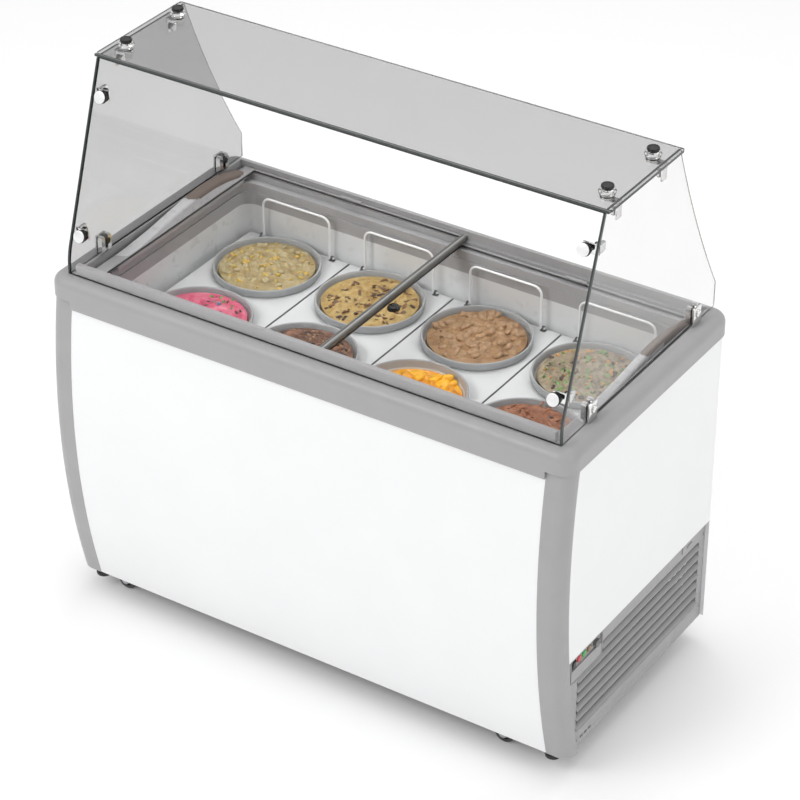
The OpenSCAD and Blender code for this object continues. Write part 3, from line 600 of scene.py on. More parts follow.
def make_top_glass():
    """Top sheet, with its ground front edge as a strip of its own."""
    ground = 6 * MM
    bm = bmesh.new()
    outline = rounded_rect(TOP_LO.x, TOP_HI.x, TOP_LO.y + ground, TOP_HI.y, 0.005)
    prism(bm, outline, "z", GUARD_Z1, GUARD_TOP, 1, 0)
    bevel_all(bm, 0.0006, 2, 60)
    edge = bmesh.new()
    soft_box(edge, (TOP_LO.x, TOP_LO.y, GUARD_Z1), (TOP_HI.x, TOP_LO.y + ground - 0.0001, GUARD_TOP),
             0.0016, 3)
    # the front face of the edge strip takes the darkest edge colour, painted shade as for the other glass
    # edges; the rest takes the grey edge colour
    for f in edge.faces:
        f.material_index = 1 if f.normal.y < -0.5 else 0
    finish_obj("top_glass_ground_edge", edge, ["glass_edge_grey", "glass_edge"],
               replaces="top_glass")
    finish_obj("guard_top_glass", bm, ["top_glass", "glass_edge"], replaces="top_glass")


def make_front_glass():
    """Bent sheet swept along X. Its narrow ends and its two long edges are dark."""
    bm = bmesh.new()
    outer, inner = lean_line(0), lean_line(GLASS_T)
    ring = outer + inner[::-1]
    n, k = len(outer), len(ring)
    dark_end = 4.2 * MM
    stations = [[bm.verts.new((x, *p)) for p in ring]
                for x in (-GLASS_X, dark_end - GLASS_X, GLASS_X - dark_end, GLASS_X)]
    for span, (a, b) in enumerate(zip(stations, stations[1:])):
        for i, f in enumerate(skin(bm, a, b, 1)):
            if span == 1 and i not in (n - 1, k - 1):
                f.material_index = 0
    for side, flip in ((stations[0], True), (stations[-1], False)):
        for i in range(n - 1):
            q = [side[i], side[i + 1], side[k - 2 - i], side[k - 1 - i]]
            bm.faces.new(q[::-1] if flip else q).material_index = 1
    finish_obj("guard_front_glass", bm, ["front_glass", "glass_edge"],
               replaces="front_glass")


def make_side_glasses():
    """Side sheets: leaning front edge, bowed rear edge down to a short upright, and foot seals."""
    foot, top = Vector((0.309, 0.842)), Vector((TOP_HI.y - 2 * MM, GUARD_Z1))
    curve_r = 2.350
    chord = (foot - top).length
    out = Vector((top.y - foot.y, foot.x - top.x)) / chord
    centre = (foot + top) / 2 + out * math.sqrt(curve_r ** 2 - chord ** 2 / 4)
    a0 = math.atan2(top.y - centre.y, top.x - centre.x)
    a1 = math.atan2(foot.y - centre.y, foot.x - centre.x)
    if a1 - a0 > math.pi:
        a1 -= 2 * math.pi
    if a0 - a1 > math.pi:
        a0 -= 2 * math.pi
    arc = [(centre.x + curve_r * math.cos(a0 + (a1 - a0) * i / 24),
            centre.y + curve_r * math.sin(a0 + (a1 - a0) * i / 24)) for i in range(25)]
    outline = lean_line(GLASS_T + 0.3 * MM) + arc + [(foot.x, FRAME_TOP)]
    # the left sheet takes the darker glass, whose lower tint is painted shade
    for s, name, mat in ((-1, "left", "guard_glass_left_painted_shade"), (1, "right", "guard_glass")):
        bm = bmesh.new()
        prism(bm, outline, "x", s * GLASS_X, s * (GLASS_X - GLASS_T), 1, 0)
        finish_obj(f"guard_{name}_glass", bm, [mat, "glass_edge_pale"],
                   replaces="side_glasses", angle=25)
    bm = bmesh.new()
    for s in (-1, 1):
        soft_box(bm, (s * 0.5596, -0.155, FRAME_TOP), (s * 0.5619, 0.2125, FRAME_TOP + 0.0035), 0.0006)
    finish_obj("side_glass_seals", bm, "rubber_black")


# ---------------------------------------------------------------- clamps on the guard

SIDE_IN = 0.5618  # inner face of the side glasses
CLAMP_FACE, CLAMP_DARK = 1, 2  # material numbers in the clamp piece; 0 is chrome


def chrome_button(bm, s, z):
    """Round front-glass clamp on side s, with its bracket and screw on the side glass."""
    x, y = s * 0.541, lean_top(0, z)[0]
    n = Vector((0, -math.cos(LEAN), math.sin(LEAN)))
    m = frame_at((x, y, z), n)
    rim = [(0, 0), (0.0132, 0), (0.0132, 0.0030), (0.0122, 0.0038), (0.0122, 0.0076), (0, 0.0076)]
    lathe(bm, rim, m, 40, CLAMP_DARK)
    face = [(0, 0.0070), (0.0124, 0.0072), (0.0128, 0.0080), (0.0124, 0.0088), (0.0108, 0.0092), (0, 0.0092)]
    lathe(bm, face, m, 40, CLAMP_FACE)
    disc(bm, 0.010, 0.0085, 0.001, Vector((x, y, z)) - n * (GLASS_T + 0.0086), n, 32, CLAMP_DARK)
    yi = y + 0.010
    soft_box(bm, (s * 0.531, yi, z - 0.012), (s * 0.562, yi + 0.0045, z + 0.010), 0.0012)
    soft_box(bm, (s * 0.5535, yi + 0.002, z - 0.011), (s * SIDE_IN, yi + 0.026, z + 0.008), 0.0015)
    screw = (s * 0.5535, yi + 0.015, z - 0.001)
    disc(bm, 0.0074, 0.0050, 0.001, screw, (-s, 0, 0), 24, CLAMP_DARK)
    disc(bm, 0.0048, 0.0062, 0.001, screw, (-s, 0, 0), 6)


def top_clamp(bm, caps, s, y):
    """Clamp between the top glass and a side glass: washers, arm, hanging saddle, chrome seat, black cap."""
    x, z = s * 0.538, GUARD_Z1
    up = (0, 0, 1)
    washer = [(0, 0), (0.015, 0), (0.015, 0.0015), (0.0135, 0.004), (0.010, 0.0042), (0, 0.0042)]
    lathe(bm, washer, frame_at((x, y, GUARD_TOP), up), 40)
    disc(bm, 0.014, 0.004, 0.001, (x, y, z - 0.004), up, 40)
    soft_box(bm, (s * 0.530, y - 0.009, z - 0.008), (s * SIDE_IN, y + 0.009, z - 0.0042), 0.0012)
    soft_box(bm, (s * 0.5575, y - 0.009, z - 0.037), (s * SIDE_IN, y + 0.009, z - 0.006), 0.0012)
    soft_box(bm, (s * 0.548, y - 0.006, z - 0.030), (s * 0.558, y + 0.006, z - 0.020), 0.002, 2, CLAMP_DARK)
    disc(bm, 0.0078, 0.006, 0.0012, (s * 0.5535, y, z - 0.026), (-s, 0, 0), 24)
    disc(bm, 0.0070, 0.003, 0.001, (s * 0.545, y, z - 0.0072), up, 24, CLAMP_DARK)
    m = frame_at((x, y, GUARD_TOP + 0.004), up)
    cap = [(0, 0.0085), (0.0108, 0.0085), (0.0116, 0.0092), (0.0122, 0.0110), (0.0122, 0.0136),
           (0.0115, 0.0148), (0.0100, 0.0152), (0.0088, 0.0147), (0.0080, 0.0140), (0, 0.0140)]
    lathe(caps, cap, m, 40)
    seat = [(0, 0), (0.0150, 0), (0.0168, 0.0006), (0.0168, 0.0028), (0.0150, 0.0044), (0.0138, 0.0052),
            (0.0134, 0.0082), (0.0110, 0.0092), (0, 0.0092)]
    lathe(bm, seat, m, 40)


def base_clamp(bm, s, y):
    """Pair of jaws on the frame inside a side glass, with a dark block, a screw and an outer plate."""
    z = FRAME_TOP
    soft_box(bm, (s * 0.5568, y - 0.015, z), (s * SIDE_IN, y + 0.015, z + 0.009), 0.001)
    for dy in (-0.0155, 0.0045):
        outline = [(y + dy, z + 0.006), (y + dy + 0.011, z + 0.006), (y + dy + 0.011, z + 0.034),
                   (y + dy + 0.0085, z + 0.0405), (y + dy + 0.0025, z + 0.0405), (y + dy, z + 0.034)]
        tmp = bmesh.new()
        prism(tmp, outline, "x", s * 0.5512, s * SIDE_IN)
        bevel_all(tmp, 0.001, 2)
        merge(bm, tmp)
    soft_box(bm, (s * 0.5560, y - 0.006, z + 0.008), (s * 0.5617, y + 0.006, z + 0.030), 0.001, 2, CLAMP_DARK)
    disc(bm, 0.0075, 0.0055, 0.001, (s * 0.5555, y + 0.005, z + 0.026), (-s, 0, 0), 6, CLAMP_DARK)
    soft_box(bm, (s * 0.5672, y - 0.015, z), (s * 0.5725, y + 0.015, z + 0.040), 0.0015)
    disc(bm, 0.008, 0.004, 0.0012, (s * 0.5722, y, z + 0.025), (s, 0, 0), 28)


def make_clamps():
    bm = bmesh.new()
    caps = bmesh.new()
    for s in (-1, 1):
        for y in (-0.093, 0.075):
            top_clamp(bm, caps, s, y)
        for y in (-0.173, 0.229):
            base_clamp(bm, s, y)
        for z in (0.872, 1.140):
            chrome_button(bm, s, z)
    finish_obj("glass_clamps_chrome", bm, ["chrome", "button_face", "clamp_dark"],
               replaces="glass_clamps", angle=40)
    finish_obj("clamp_caps_black", caps, "black_plastic", replaces="clamp_caps",
               angle=40)


# ---------------------------------------------------------------- lids

LID_OUT, LID_IN = 0.545, 0.518  # outer and inner side of a lid's end rail
HY0, HY1 = -0.185, 0.262        # ends of the arched handle
GRIP_Y0 = 0.072                 # front tip of the grip pad
HANDLE_RISE = 0.0037            # height of the handle's tips over the rail
BAR_W = 0.014


def arch(t):
    """Height of the handle along its length, t from 0 at the front to 1."""
    return (25 * math.sin(math.pi * t ** 1.87) + 6 * t) * MM


def handle_section(s, base, rise):
    """Outline of the handle across X and Z: upright outside, rounded over, and lower inside."""
    x_out, x_in = s * LID_OUT, s * LID_IN
    top = base + rise
    r = min(0.006, rise * 0.45)
    outline = [(x_out, base), (x_out, top - r)]
    outline += [(x_out - s * (r - r * math.cos(a)), top - r + r * math.sin(a)) for a in quarter(4)[1:]]
    xi = x_in + s * 0.0035 * min(1.0, rise / 0.02)
    ri = min(0.009, rise * 0.5)
    shoulder = top - rise * 0.10
    outline += [(xi + s * (ri - ri * math.sin(a)), shoulder - (ri - ri * math.cos(a))) for a in quarter(4)]
    return outline + [(x_in, base)]


def lid_handle(s, name, base):
    """Arched end handle lofted along Y, and its leaf-shaped grip pad as a skin just over it."""
    bm = bmesh.new()
    n = 220
    rings = []
    for i in range(n + 1):
        t = i / n
        y = HY0 + t * (HY1 - HY0)
        rise = HANDLE_RISE - 0.0005 + arch(t) if i < n else 0.0070
        rings.append([bm.verts.new((px, y, pz)) for px, pz in handle_section(s, base, rise)])
    m = len(rings[0])
    pad_faces = []
    for a, b in zip(rings, rings[1:]):
        yc = (a[0].co.y + b[0].co.y) / 2
        u = (yc - GRIP_Y0) / (HY1 - GRIP_Y0)
        pad_edge = None
        if 0.0 < u < 1.0:
            crest = base + HANDLE_RISE + arch((yc - HY0) / (HY1 - HY0))
            pad_edge = crest - 0.021 * math.sin(math.pi * u) ** 0.8
        for k, f in enumerate(skin(bm, a, b)):
            if pad_edge is not None and k != m - 1 and sum(v.co.z for v in f.verts) / 4 > pad_edge:
                pad_faces.append(f)
    bm.faces.new(rings[0][::-1])
    bm.faces.new(rings[-1])
    bm.normal_update()
    bmesh.ops.recalc_face_normals(bm, faces=bm.faces[:])
    grip = bmesh.new()
    over = {}
    for f in pad_faces:
        for v in f.verts:
            if v not in over:
                over[v] = grip.verts.new(v.co + v.normal * 0.0004)
        grip.faces.new([over[v] for v in f.verts])
    lid = name + "_lid"
    finish_obj(lid + "_handle", bm, "handle_grey", lid, lid + "_frame", angle=50)
    finish_obj(lid + "_grip_pad", grip, "taupe_grip", lid, lid + "_grip", angle=60)


def make_lid(s, name, y0, y1, skirt):
    """One sliding lid. s is -1 for the left, upper one; skirt is how far its end rail hangs down."""
    lid = name + "_lid"
    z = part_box(lid + "_glass")[0].z - 2 * MM
    x_out, x_in, inner = s * LID_OUT, s * LID_IN, -s * 0.011
    bm = bmesh.new()
    soft_box(bm, (x_out, y0, z), (x_in, y1, z + 0.008), 0.0015)
    soft_box(bm, (x_in, y0, z), (inner, y0 + 0.005, z + 0.008), 0.001)
    soft_box(bm, (x_in, y1 - 0.005, z), (inner, y1, z + 0.008), 0.001)
    if skirt:
        soft_box(bm, (s * 0.543, HY0 + 0.002, z - skirt), (x_in, HY1 - 0.010, z + 0.004), 0.002)
    soft_box(bm, (s * 0.298, y1 - 0.008, z + 0.007), (s * 0.246, y1, z + 0.012), 0.0015)
    finish_obj(lid + "_rails", bm, "grey_track", lid, lid + "_frame")
    # centre bar: dark channel with a paler core
    bm = bmesh.new()
    lo, hi = sorted((inner, inner + s * BAR_W))
    soft_box(bm, (lo, y0, z), (lo + 0.0045, y1, z + 0.010), 0.0012, mat=0)
    soft_box(bm, (hi - 0.0045, y0, z), (hi, y1, z + 0.010), 0.0012, mat=0)
    soft_box(bm, (lo + 0.004, y0, z), (hi - 0.004, y1, z + 0.0085), 0.0008, mat=1)
    finish_obj(lid + "_bar", bm, ["bar_grey", "bar_core"], lid, lid + "_frame")
    lid_handle(s, name, z + 0.004)
    bm = bmesh.new()
    lo, hi = sorted((x_in, inner + s * BAR_W))
    pane = [(lo, y0 + 0.005), (hi, y0 + 0.005), (hi, y1 - 0.005), (lo, y1 - 0.005)]
    prism(bm, pane, "z", z + 0.002, z + 0.006, 1, 0)
    finish_obj(lid + "_pane", bm, ["lid_glass", "glass_edge_pale"], lid, lid + "_glass")


# ---------------------------------------------------------------- well: racks, tubs, handles

COLS = [-0.3855, -0.1285, 0.1285, 0.3855]
ROWS = [0.143, -0.102]
RIM_Z, RACK_Z = 0.660, 0.642
RACK_HALF = 0.1275              # half the width of a rack
RACK_Y0, RACK_Y1 = -0.217, 0.259
HOLE_R, LIP_R = 0.1095, 0.1078  # hole for a tub, and its turned-down lip


def rack_cell(bm, x, lo, hi, cy):
    """Part of a rack's top sheet from lo to hi along Y, round the hole at cy."""
    half = RACK_HALF - 2 * MM
    segs = 96
    outer, inner, lip, low = [], [], [], []
    for a in circle(segs):
        ca, sa = math.cos(a), math.sin(a)
        tx = half / abs(ca) if abs(ca) > 1e-9 else 1e9
        ty = ((hi - cy) if sa > 0 else (cy - lo)) / abs(sa) if abs(sa) > 1e-9 else 1e9
        for ring, r, z in ((inner, HOLE_R, RACK_Z), (lip, LIP_R, RACK_Z - 0.0012),
                           (low, LIP_R, RACK_Z - 0.008), (outer, min(tx, ty), RACK_Z)):
            ring.append(bm.verts.new((x + r * ca, cy + r * sa, z)))
    for a, b in ((outer, inner), (inner, lip), (lip, low)):
        skin(bm, a, b)
    # corners that the ring's spokes pass by
    for sx in (-1, 1):
        for yy in (lo, hi):
            i = math.floor(math.atan2(yy - cy, sx * half) / (2 * math.pi) * segs) % segs
            corner = bm.verts.new((x + sx * half, yy, RACK_Z))
            bm.faces.new([outer[i], corner, outer[(i + 1) % segs]])


def rack_flange(bm, x):
    """Rounded edge and turned-down sides, as (inset, height) rings."""
    levels = [(0.002, RACK_Z), (0.0006, RACK_Z - 0.0006), (0.0, RACK_Z - 0.002), (0.0, 0.620),
              (0.0018, 0.620), (0.0018, RACK_Z - 0.003)]
    prev = None
    for d, z in levels:
        yd = min(d, 0.0018)
        x0, x1, y0, y1 = x - RACK_HALF + d, x + RACK_HALF - d, RACK_Y0 + yd, RACK_Y1 - yd
        cur = [bm.verts.new((px, py, z)) for px, py in ((x0, y0), (x1, y0), (x1, y1), (x0, y1))]
        if prev:
            skin(bm, prev, cur)
        prev = cur


def rack_lugs(bm, x):
    """Dark hooked lugs that hold the wire handle."""
    hook = [(0.2465, 0.6421), (0.2555, 0.6421), (0.2555, 0.6495), (0.2535, 0.6525), (0.2485, 0.6525),
            (0.2465, 0.6495)]
    for s in (-1, 1):
        lx = x + s * 0.090
        tmp = bmesh.new()
        prism(tmp, hook, "x", lx - 0.002, lx + 0.002)
        bevel_all(tmp, 0.0006, 2)
        merge(bm, tmp)
        soft_box(bm, (lx - 0.006, 0.2465, 0.6421), (lx + 0.006, 0.2555, 0.6440), 0.0006)


def make_racks():
    middle = (ROWS[0] + ROWS[1]) / 2
    for c, x in enumerate(COLS):
        bm = bmesh.new()
        rack_cell(bm, x, middle, RACK_Y1, ROWS[0])
        rack_cell(bm, x, RACK_Y0, middle, ROWS[1])
        rack_flange(bm, x)
        bmesh.ops.remove_doubles(bm, verts=bm.verts[:], dist=1e-5)
        finish_obj(f"tub_rack_{c + 1}", bm, "rack_white", replaces="tub_racks", angle=40)
        if c < 3:
            # dark strip in the gap between neighbouring racks: painted shade for the shadow down in the gap,
            # not a part of its own
            gap = bmesh.new()
            soft_box(gap, (x + RACK_HALF - 0.0014, RACK_Y0 + 0.001, RACK_Z - 0.014),
                     (x + RACK_HALF + 0.0024, RACK_Y1 - 0.001, RACK_Z + 0.0003), 0.0003, 1)
            finish_obj(f"rack_gap_shade_strip_{c + 1}", gap, "dark_trim")
        bm = bmesh.new()
        rack_lugs(bm, x)
        finish_obj(f"rack_lugs_{c + 1}", bm, "lug_grey", replaces="tub_racks")


def make_rack_handles():
    """Wire loops with out-turned feet, each on its own hinge."""
    y, z0, z1 = 0.251, 0.648, 0.740
    hw = 0.084
    fr, rb = 0.004, 0.018  # bend at the feet, bend at the top corners
    for c, x in enumerate(COLS):
        left, right = x - hw, x + hw
        pts = [(x - 0.094, y, z0)]
        pts += [(left - fr + fr * math.sin(a), y, z0 + fr - fr * math.cos(a)) for a in quarter(6)]
        pts += [(left + rb - rb * math.cos(a), y, z1 - rb + rb * math.sin(a)) for a in quarter(12)]
        pts += [(right - rb + rb * math.sin(a), y, z1 - rb + rb * math.cos(a)) for a in quarter(12)]
        pts += [(right + fr - fr * math.cos(a), y, z0 + fr - fr * math.sin(a)) for a in quarter(6)]
        pts.append((x + 0.094, y, z0))
        bm = bmesh.new()
        tube(bm, pts, 0.0025, 14)
        node = f"rack_handle_{c + 1}"
        finish_obj(f"wire_handle_{c + 1}", bm, "wire_white", node, node, angle=60)


def make_tubs():
    """Round tubs: sloped wall, and a rolled rim that hangs on the rack."""
    b = RIM_Z - 0.248
    wall = [(0, b), (0.088, b), (0.0925, b + 0.0015), (0.094, b + 0.006), (0.1058, RACK_Z - 0.006),
            (0.1062, RACK_Z + 0.0002)]
    rim = [(0.1105, RACK_Z + 0.0003), (0.1118, RACK_Z + 0.001), (0.1126, RACK_Z + 0.003),
           (0.1138, RIM_Z - 0.0045), (0.1138, RIM_Z - 0.002), (0.1128, RIM_Z - 0.0004), (0.1115, RIM_Z),
           (0.1100, RIM_Z - 0.0006), (0.1090, RIM_Z - 0.0022), (0.1078, RACK_Z + 0.006)]
    inner = [(0.1062, RACK_Z + 0.0022), (0.1030, RACK_Z - 0.002), (0.1015, RACK_Z - 0.03), (0.0915, 0.4165),
             (0, 0.4155)]
    spots = [(x, y) for y in ROWS for x in COLS]
    for i, (x, y) in enumerate(spots):
        bm = bmesh.new()
        m = Matrix.Translation((x, y, 0))
        lathe(bm, wall + rim + inner[:1], m, 96, 0)
        lathe(bm, inner, m, 96, 1)
        bmesh.ops.remove_doubles(bm, verts=bm.verts[:], dist=1e-5)
        finish_obj(f"tub_{i + 1}", bm, ["tub_plastic", "tub_inner"], replaces="tubs",
                   angle=40)


make_top_glass()
make_front_glass()
make_side_glasses()
make_clamps()
make_lid(-1, "left", -0.260, 0.293, 0.010)
make_lid(1, "right", -0.248, 0.2855, 0.0)
make_racks()
make_rack_handles()
make_tubs()

# ---------------------------------------------------------------- ice cream

TUB_IN = 0.1008    # radius of the ice cream at its top
FOOD_SHADE = 0.80  # how much darker the food is than the colours listed below

FLAVOURS = [
    # row, column, surface, inclusions (kind, colour, count, size), lumpiness, dome height, sink
    (0, 0, "vanilla", [("chip", "corn", 60, 0.0052), ("lump", "cream_bit", 60, 0.0080)], 0.0040, 0.010, 0.0),
    (0, 1, "dough", [("shard", "cookie", 75, 0.0048), ("shard", "choc_bit", 26, 0.0044)], 0.0042, 0.009, 0.0),
    (0, 2, "caramel", [("lump", "caramel_bit", 90, 0.0098), ("lump", "cookie", 16, 0.0040)],
     0.0036, 0.011, 0.0),
    (0, 3, "pistachio", [("chip", "green_bit", 60, 0.0048), ("chip", "orange_bit", 46, 0.0048),
                         ("shard", "choc_bit", 44, 0.0050)], 0.0046, 0.010, 0.0),
    (1, 0, "pink", [("ball", "green_bit", 26, 0.0040), ("ball", "blue_bit", 20, 0.0038),
                    ("shard", "choc_bit", 24, 0.0044)], 0.0034, 0.010, 0.0),
    (1, 1, "chocolate", [("shard", "dark_choc", 60, 0.0058), ("chip", "caramel_bit", 50, 0.0050)],
     0.0046, 0.010, 0.0),
    (1, 2, "mango", [("lump", "mango_bit", 44, 0.0150)], 0.0075, 0.006, 0.008),
    (1, 3, "cinnamon", [("shred", "rust_bit", 95, 0.0060), ("shard", "dark_choc", 34, 0.0050)],
     0.0042, 0.010, 0.0),
]


def food(name, first, last, low, mid, high, rough, scale, bump=0.5, sss=0.12, coat=0.1):
    """Ice cream surface in three tones, low, mid and high, spread over a noise pattern from first to last."""
    tones = ((first, low), (0.5, mid), (last, high))
    stops = [(p, tuple(FOOD_SHADE * v for v in c)) for p, c in tones]
    m = Mat(name, (*stops[1][1], 1), rough, 0.0, Subsurface_Weight=sss, Subsurface_Scale=0.004,
            Coat_Weight=coat, Coat_Roughness=0.3)
    m.set_color(m.ramp(m.noise(scale, 8, 0.62, distort=0.6), stops))
    m.bump(m.noise(260, 8, 0.65), bump, 0.0012)
    m.bump(m.voronoi(420), bump * 0.4, 0.0006)
    M[name] = m


def make_food_materials():
    food("vanilla", 0.30, 0.72, (0.32, 0.22, 0.085), (0.44, 0.33, 0.145), (0.58, 0.48, 0.27), 0.5, 38)
    food("dough", 0.30, 0.72, (0.30, 0.17, 0.045), (0.50, 0.33, 0.10), (0.64, 0.48, 0.20), 0.5, 42)
    food("caramel", 0.30, 0.72, (0.22, 0.105, 0.034), (0.37, 0.20, 0.08), (0.50, 0.31, 0.15), 0.48, 40)
    food("pistachio", 0.30, 0.72, (0.16, 0.12, 0.07), (0.34, 0.27, 0.17), (0.52, 0.44, 0.31), 0.5, 48)
    food("pink", 0.28, 0.74, (0.50, 0.045, 0.11), (0.78, 0.13, 0.23), (0.88, 0.32, 0.40), 0.42, 34)
    food("chocolate", 0.30, 0.74, (0.07, 0.025, 0.012), (0.19, 0.08, 0.04), (0.42, 0.22, 0.13), 0.46, 40)
    food("mango", 0.28, 0.76, (0.62, 0.16, 0.0), (1.0, 0.42, 0.0), (1.1, 0.60, 0.004),
         0.2, 26, 0.3, 0.05, 0.5)
    food("cinnamon", 0.28, 0.74, (0.12, 0.035, 0.012), (0.33, 0.115, 0.045), (0.54, 0.27, 0.15), 0.5, 46)
    bits = {
        "corn": ((0.64, 0.40, 0.05), (0.76, 0.54, 0.13)),
        "cream_bit": ((0.44, 0.34, 0.16), (0.60, 0.50, 0.28)),
        "cookie": ((0.13, 0.055, 0.02), (0.26, 0.13, 0.05)),
        "choc_bit": ((0.055, 0.025, 0.014), (0.12, 0.06, 0.035)),
        "caramel_bit": ((0.34, 0.185, 0.08), (0.52, 0.32, 0.165)),
        "green_bit": ((0.12, 0.26, 0.06), (0.30, 0.46, 0.14)),
        "orange_bit": ((0.62, 0.24, 0.04), (0.74, 0.42, 0.14)),
        "blue_bit": ((0.16, 0.26, 0.38), (0.30, 0.42, 0.54)),
        "dark_choc": ((0.035, 0.014, 0.008), (0.10, 0.045, 0.028)),
        "mango_bit": ((1.0, 0.40, 0.0), (1.15, 0.66, 0.004)),
        "rust_bit": ((0.26, 0.075, 0.025), (0.48, 0.19, 0.08)),
    }
    for name, tones in bits.items():
        a, b = (tuple(FOOD_SHADE * v for v in c) for c in tones)
        m = Mat(name, (*b, 1), 0.38, 0.0, Subsurface_Weight=0.08, Subsurface_Scale=0.002, Coat_Weight=0.2)
        m.set_color(m.ramp(m.noise(170, 5), [(0.35, a), (0.65, b)])).bump(m.noise(500, 5), 0.4, 0.0006)
        M[name] = m


def mound_height(x, y, r, lump, dome, seed):
    """Height of the scooped surface over the rim level, at a spot in the tub."""
    k = r / 0.101
    base = dome * (1 - k ** 2.4)
    p = Vector((x * 26 + seed * 7.3, y * 26 - seed * 3.1, seed * 1.7))
    h = noise.noise(p) * 1.3 + noise.noise(p * 2.3) * 1.2
    h += noise.noise(p * 5.1) * 0.7 + noise.noise(p * 11) * 0.3
    # ridges left by the spade
    swirl = math.sin((math.atan2(y, x) * 2 + k * 7 + seed) + 2.2 * noise.noise(p * 0.6))
    h += 0.55 * (1 - abs(swirl)) - 0.2
    fade = 1 - max(0.0, (k - 0.80) / 0.2) ** 2
    return base + lump * h * fade


def bit_mesh(bm, kind, size, rng, matrix, mat):
    """One piece in the ice cream: ball and lump are round, chip, shard and shred are slivers."""
    tmp = bmesh.new()
    if kind in ("ball", "lump"):
        bmesh.ops.create_icosphere(tmp, subdivisions=2, radius=size)
        k = 0.06 if kind == "ball" else 0.32
        seed = rng.random() * 90
        for v in tmp.verts:
            n = noise.noise(v.co * (1.1 / size) + Vector((seed, seed, 0)))
            v.co *= 1 + k * n
        sq = (1, 1, 0.9) if kind == "ball" else (1.1, 0.85 + 0.2 * rng.random(), 0.6)
    else:
        bmesh.ops.create_cube(tmp, size=2 * size)
        dims = {"chip": (0.8, 0.6, 0.34), "shard": (1.1, 0.55, 0.26), "shred": (1.7, 0.26, 0.22)}[kind]
        for v in tmp.verts:
            for i in range(3):
                v.co[i] *= dims[i] * (0.7 + 0.6 * rng.random())
        bmesh.ops.bevel(tmp, geom=tmp.edges[:], offset=size * 0.16, segments=2, affect="EDGES", profile=0.6)
        sq = (1, 1, 1)
    bmesh.ops.transform(tmp, matrix=matrix @ Matrix.Diagonal((*sq, 1)), verts=tmp.verts[:])
    merge(bm, tmp, mat)


def mound(bm, cx, cy, height, floor):
    """Scooped surface as rings of points, with a short wall under its rim and a flat floor."""
    rings, foot_r = 44, 0.0985
    turns = circle(132)
    grid = [[bm.verts.new((cx, cy, height(0, 0, 0)))]]
    for i in range(1, rings + 1):
        r = TUB_IN * i / rings
        spots = [(r * math.cos(a), r * math.sin(a)) for a in turns]
        grid.append([bm.verts.new((cx + x, cy + y, height(x, y, r))) for x, y in spots])
    foot = [(cx + foot_r * math.cos(a), cy + foot_r * math.sin(a), floor) for a in turns]
    grid.append([bm.verts.new(p) for p in foot])
    spin(bm, grid)
    bm.faces.new(grid[-1][::-1])


def scatter(bm, cx, cy, height, rng, kind, count, size, mat):
    """Pieces at random spots, pressed into the surface."""
    for _ in range(count):
        r = 0.094 * math.sqrt(rng.random())
        a = rng.random() * 2 * math.pi
        x, y = r * math.cos(a), r * math.sin(a)
        scaled = size * (0.65 + 0.7 * rng.random())
        turn = Matrix.Rotation(rng.random() * 6.28, 4, "Z")
        turn = turn @ Matrix.Rotation(rng.uniform(-0.5, 0.5), 4, "X")
        turn = turn @ Matrix.Rotation(rng.uniform(-0.5, 0.5), 4, "Y")
        sunk = scaled * (0.22 if kind == "lump" else 0.02)
        place = Matrix.Translation((cx + x, cy + y, height(x, y, r) - sunk))
        bit_mesh(bm, kind, scaled, rng, place @ turn, mat)


def make_ice_cream():
    for n, (row, col, base, bits, lump, dome, sink) in enumerate(FLAVOURS):
        rng = random.Random(400 + n)
        cx, cy = COLS[col], ROWS[row]
        top = RIM_Z - 0.0085 - sink

        def height(x, y, r):
            return top + mound_height(x, y, r, lump, dome, n)

        bm = bmesh.new()
        mound(bm, cx, cy, height, top - 0.03)
        for i, (kind, _, count, size) in enumerate(bits):
            scatter(bm, cx, cy, height, rng, kind, count, size, i + 1)
        mats = [base] + [bit[1] for bit in bits]
        finish_obj(f"ice_cream_{base}", bm, mats, replaces="ice_cream", angle=60,
                   recalc=False)


# ---------------------------------------------------------------- grille and control panel

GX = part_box("condenser_grille")[1].x
PANEL_Y, PANEL_Z = (-0.252, -0.131), (0.226, 0.285)
LV_Y, LV_Z = (-0.224, 0.267), (0.092, 0.256)
CTRL_Z = 0.269
BOW_R, BOW_Y, BOW_Z = 1.654, 1.3355, 0.475


def bow_y(z, d):
    return BOW_Y - math.sqrt((BOW_R - d) ** 2 - (z - BOW_Z) ** 2)


def cut_sheet(outer, holes, x0, x1):
    """Plate on the YZ plane with holes, from x0 to x1, made with exact booleans."""
    sheet, cut = bmesh.new(), bmesh.new()
    prism(sheet, outer, "x", x0, x1)
    for h in holes:
        prism(cut, h, "x", x0 - 0.02, x1 + 0.02)
    for part in (sheet, cut):
        bmesh.ops.recalc_face_normals(part, faces=part.faces[:])
    me, cm = mesh_of("_sheet", sheet), mesh_of("_cut", cut)
    ob, co = put("_sheet", me), put("_cut", cm)
    mod = ob.modifiers.new("cut", "BOOLEAN")
    mod.operation = "DIFFERENCE"
    mod.solver = "EXACT"
    mod.use_self = True
    mod.object = co
    bpy.context.view_layer.update()
    dg = bpy.context.evaluated_depsgraph_get()
    res = bpy.data.meshes.new_from_object(ob.evaluated_get(dg))
    bm = bmesh.new()
    bm.from_mesh(res)
    for o in (ob, co):
        bpy.data.objects.remove(o)
    for m in (me, cm, res):
        bpy.data.meshes.remove(m)
    return bm


FACE_Y1, FACE_Z0, FACE_Z1 = 0.290, 0.054, 0.297  # rear, bottom and top of the grille face


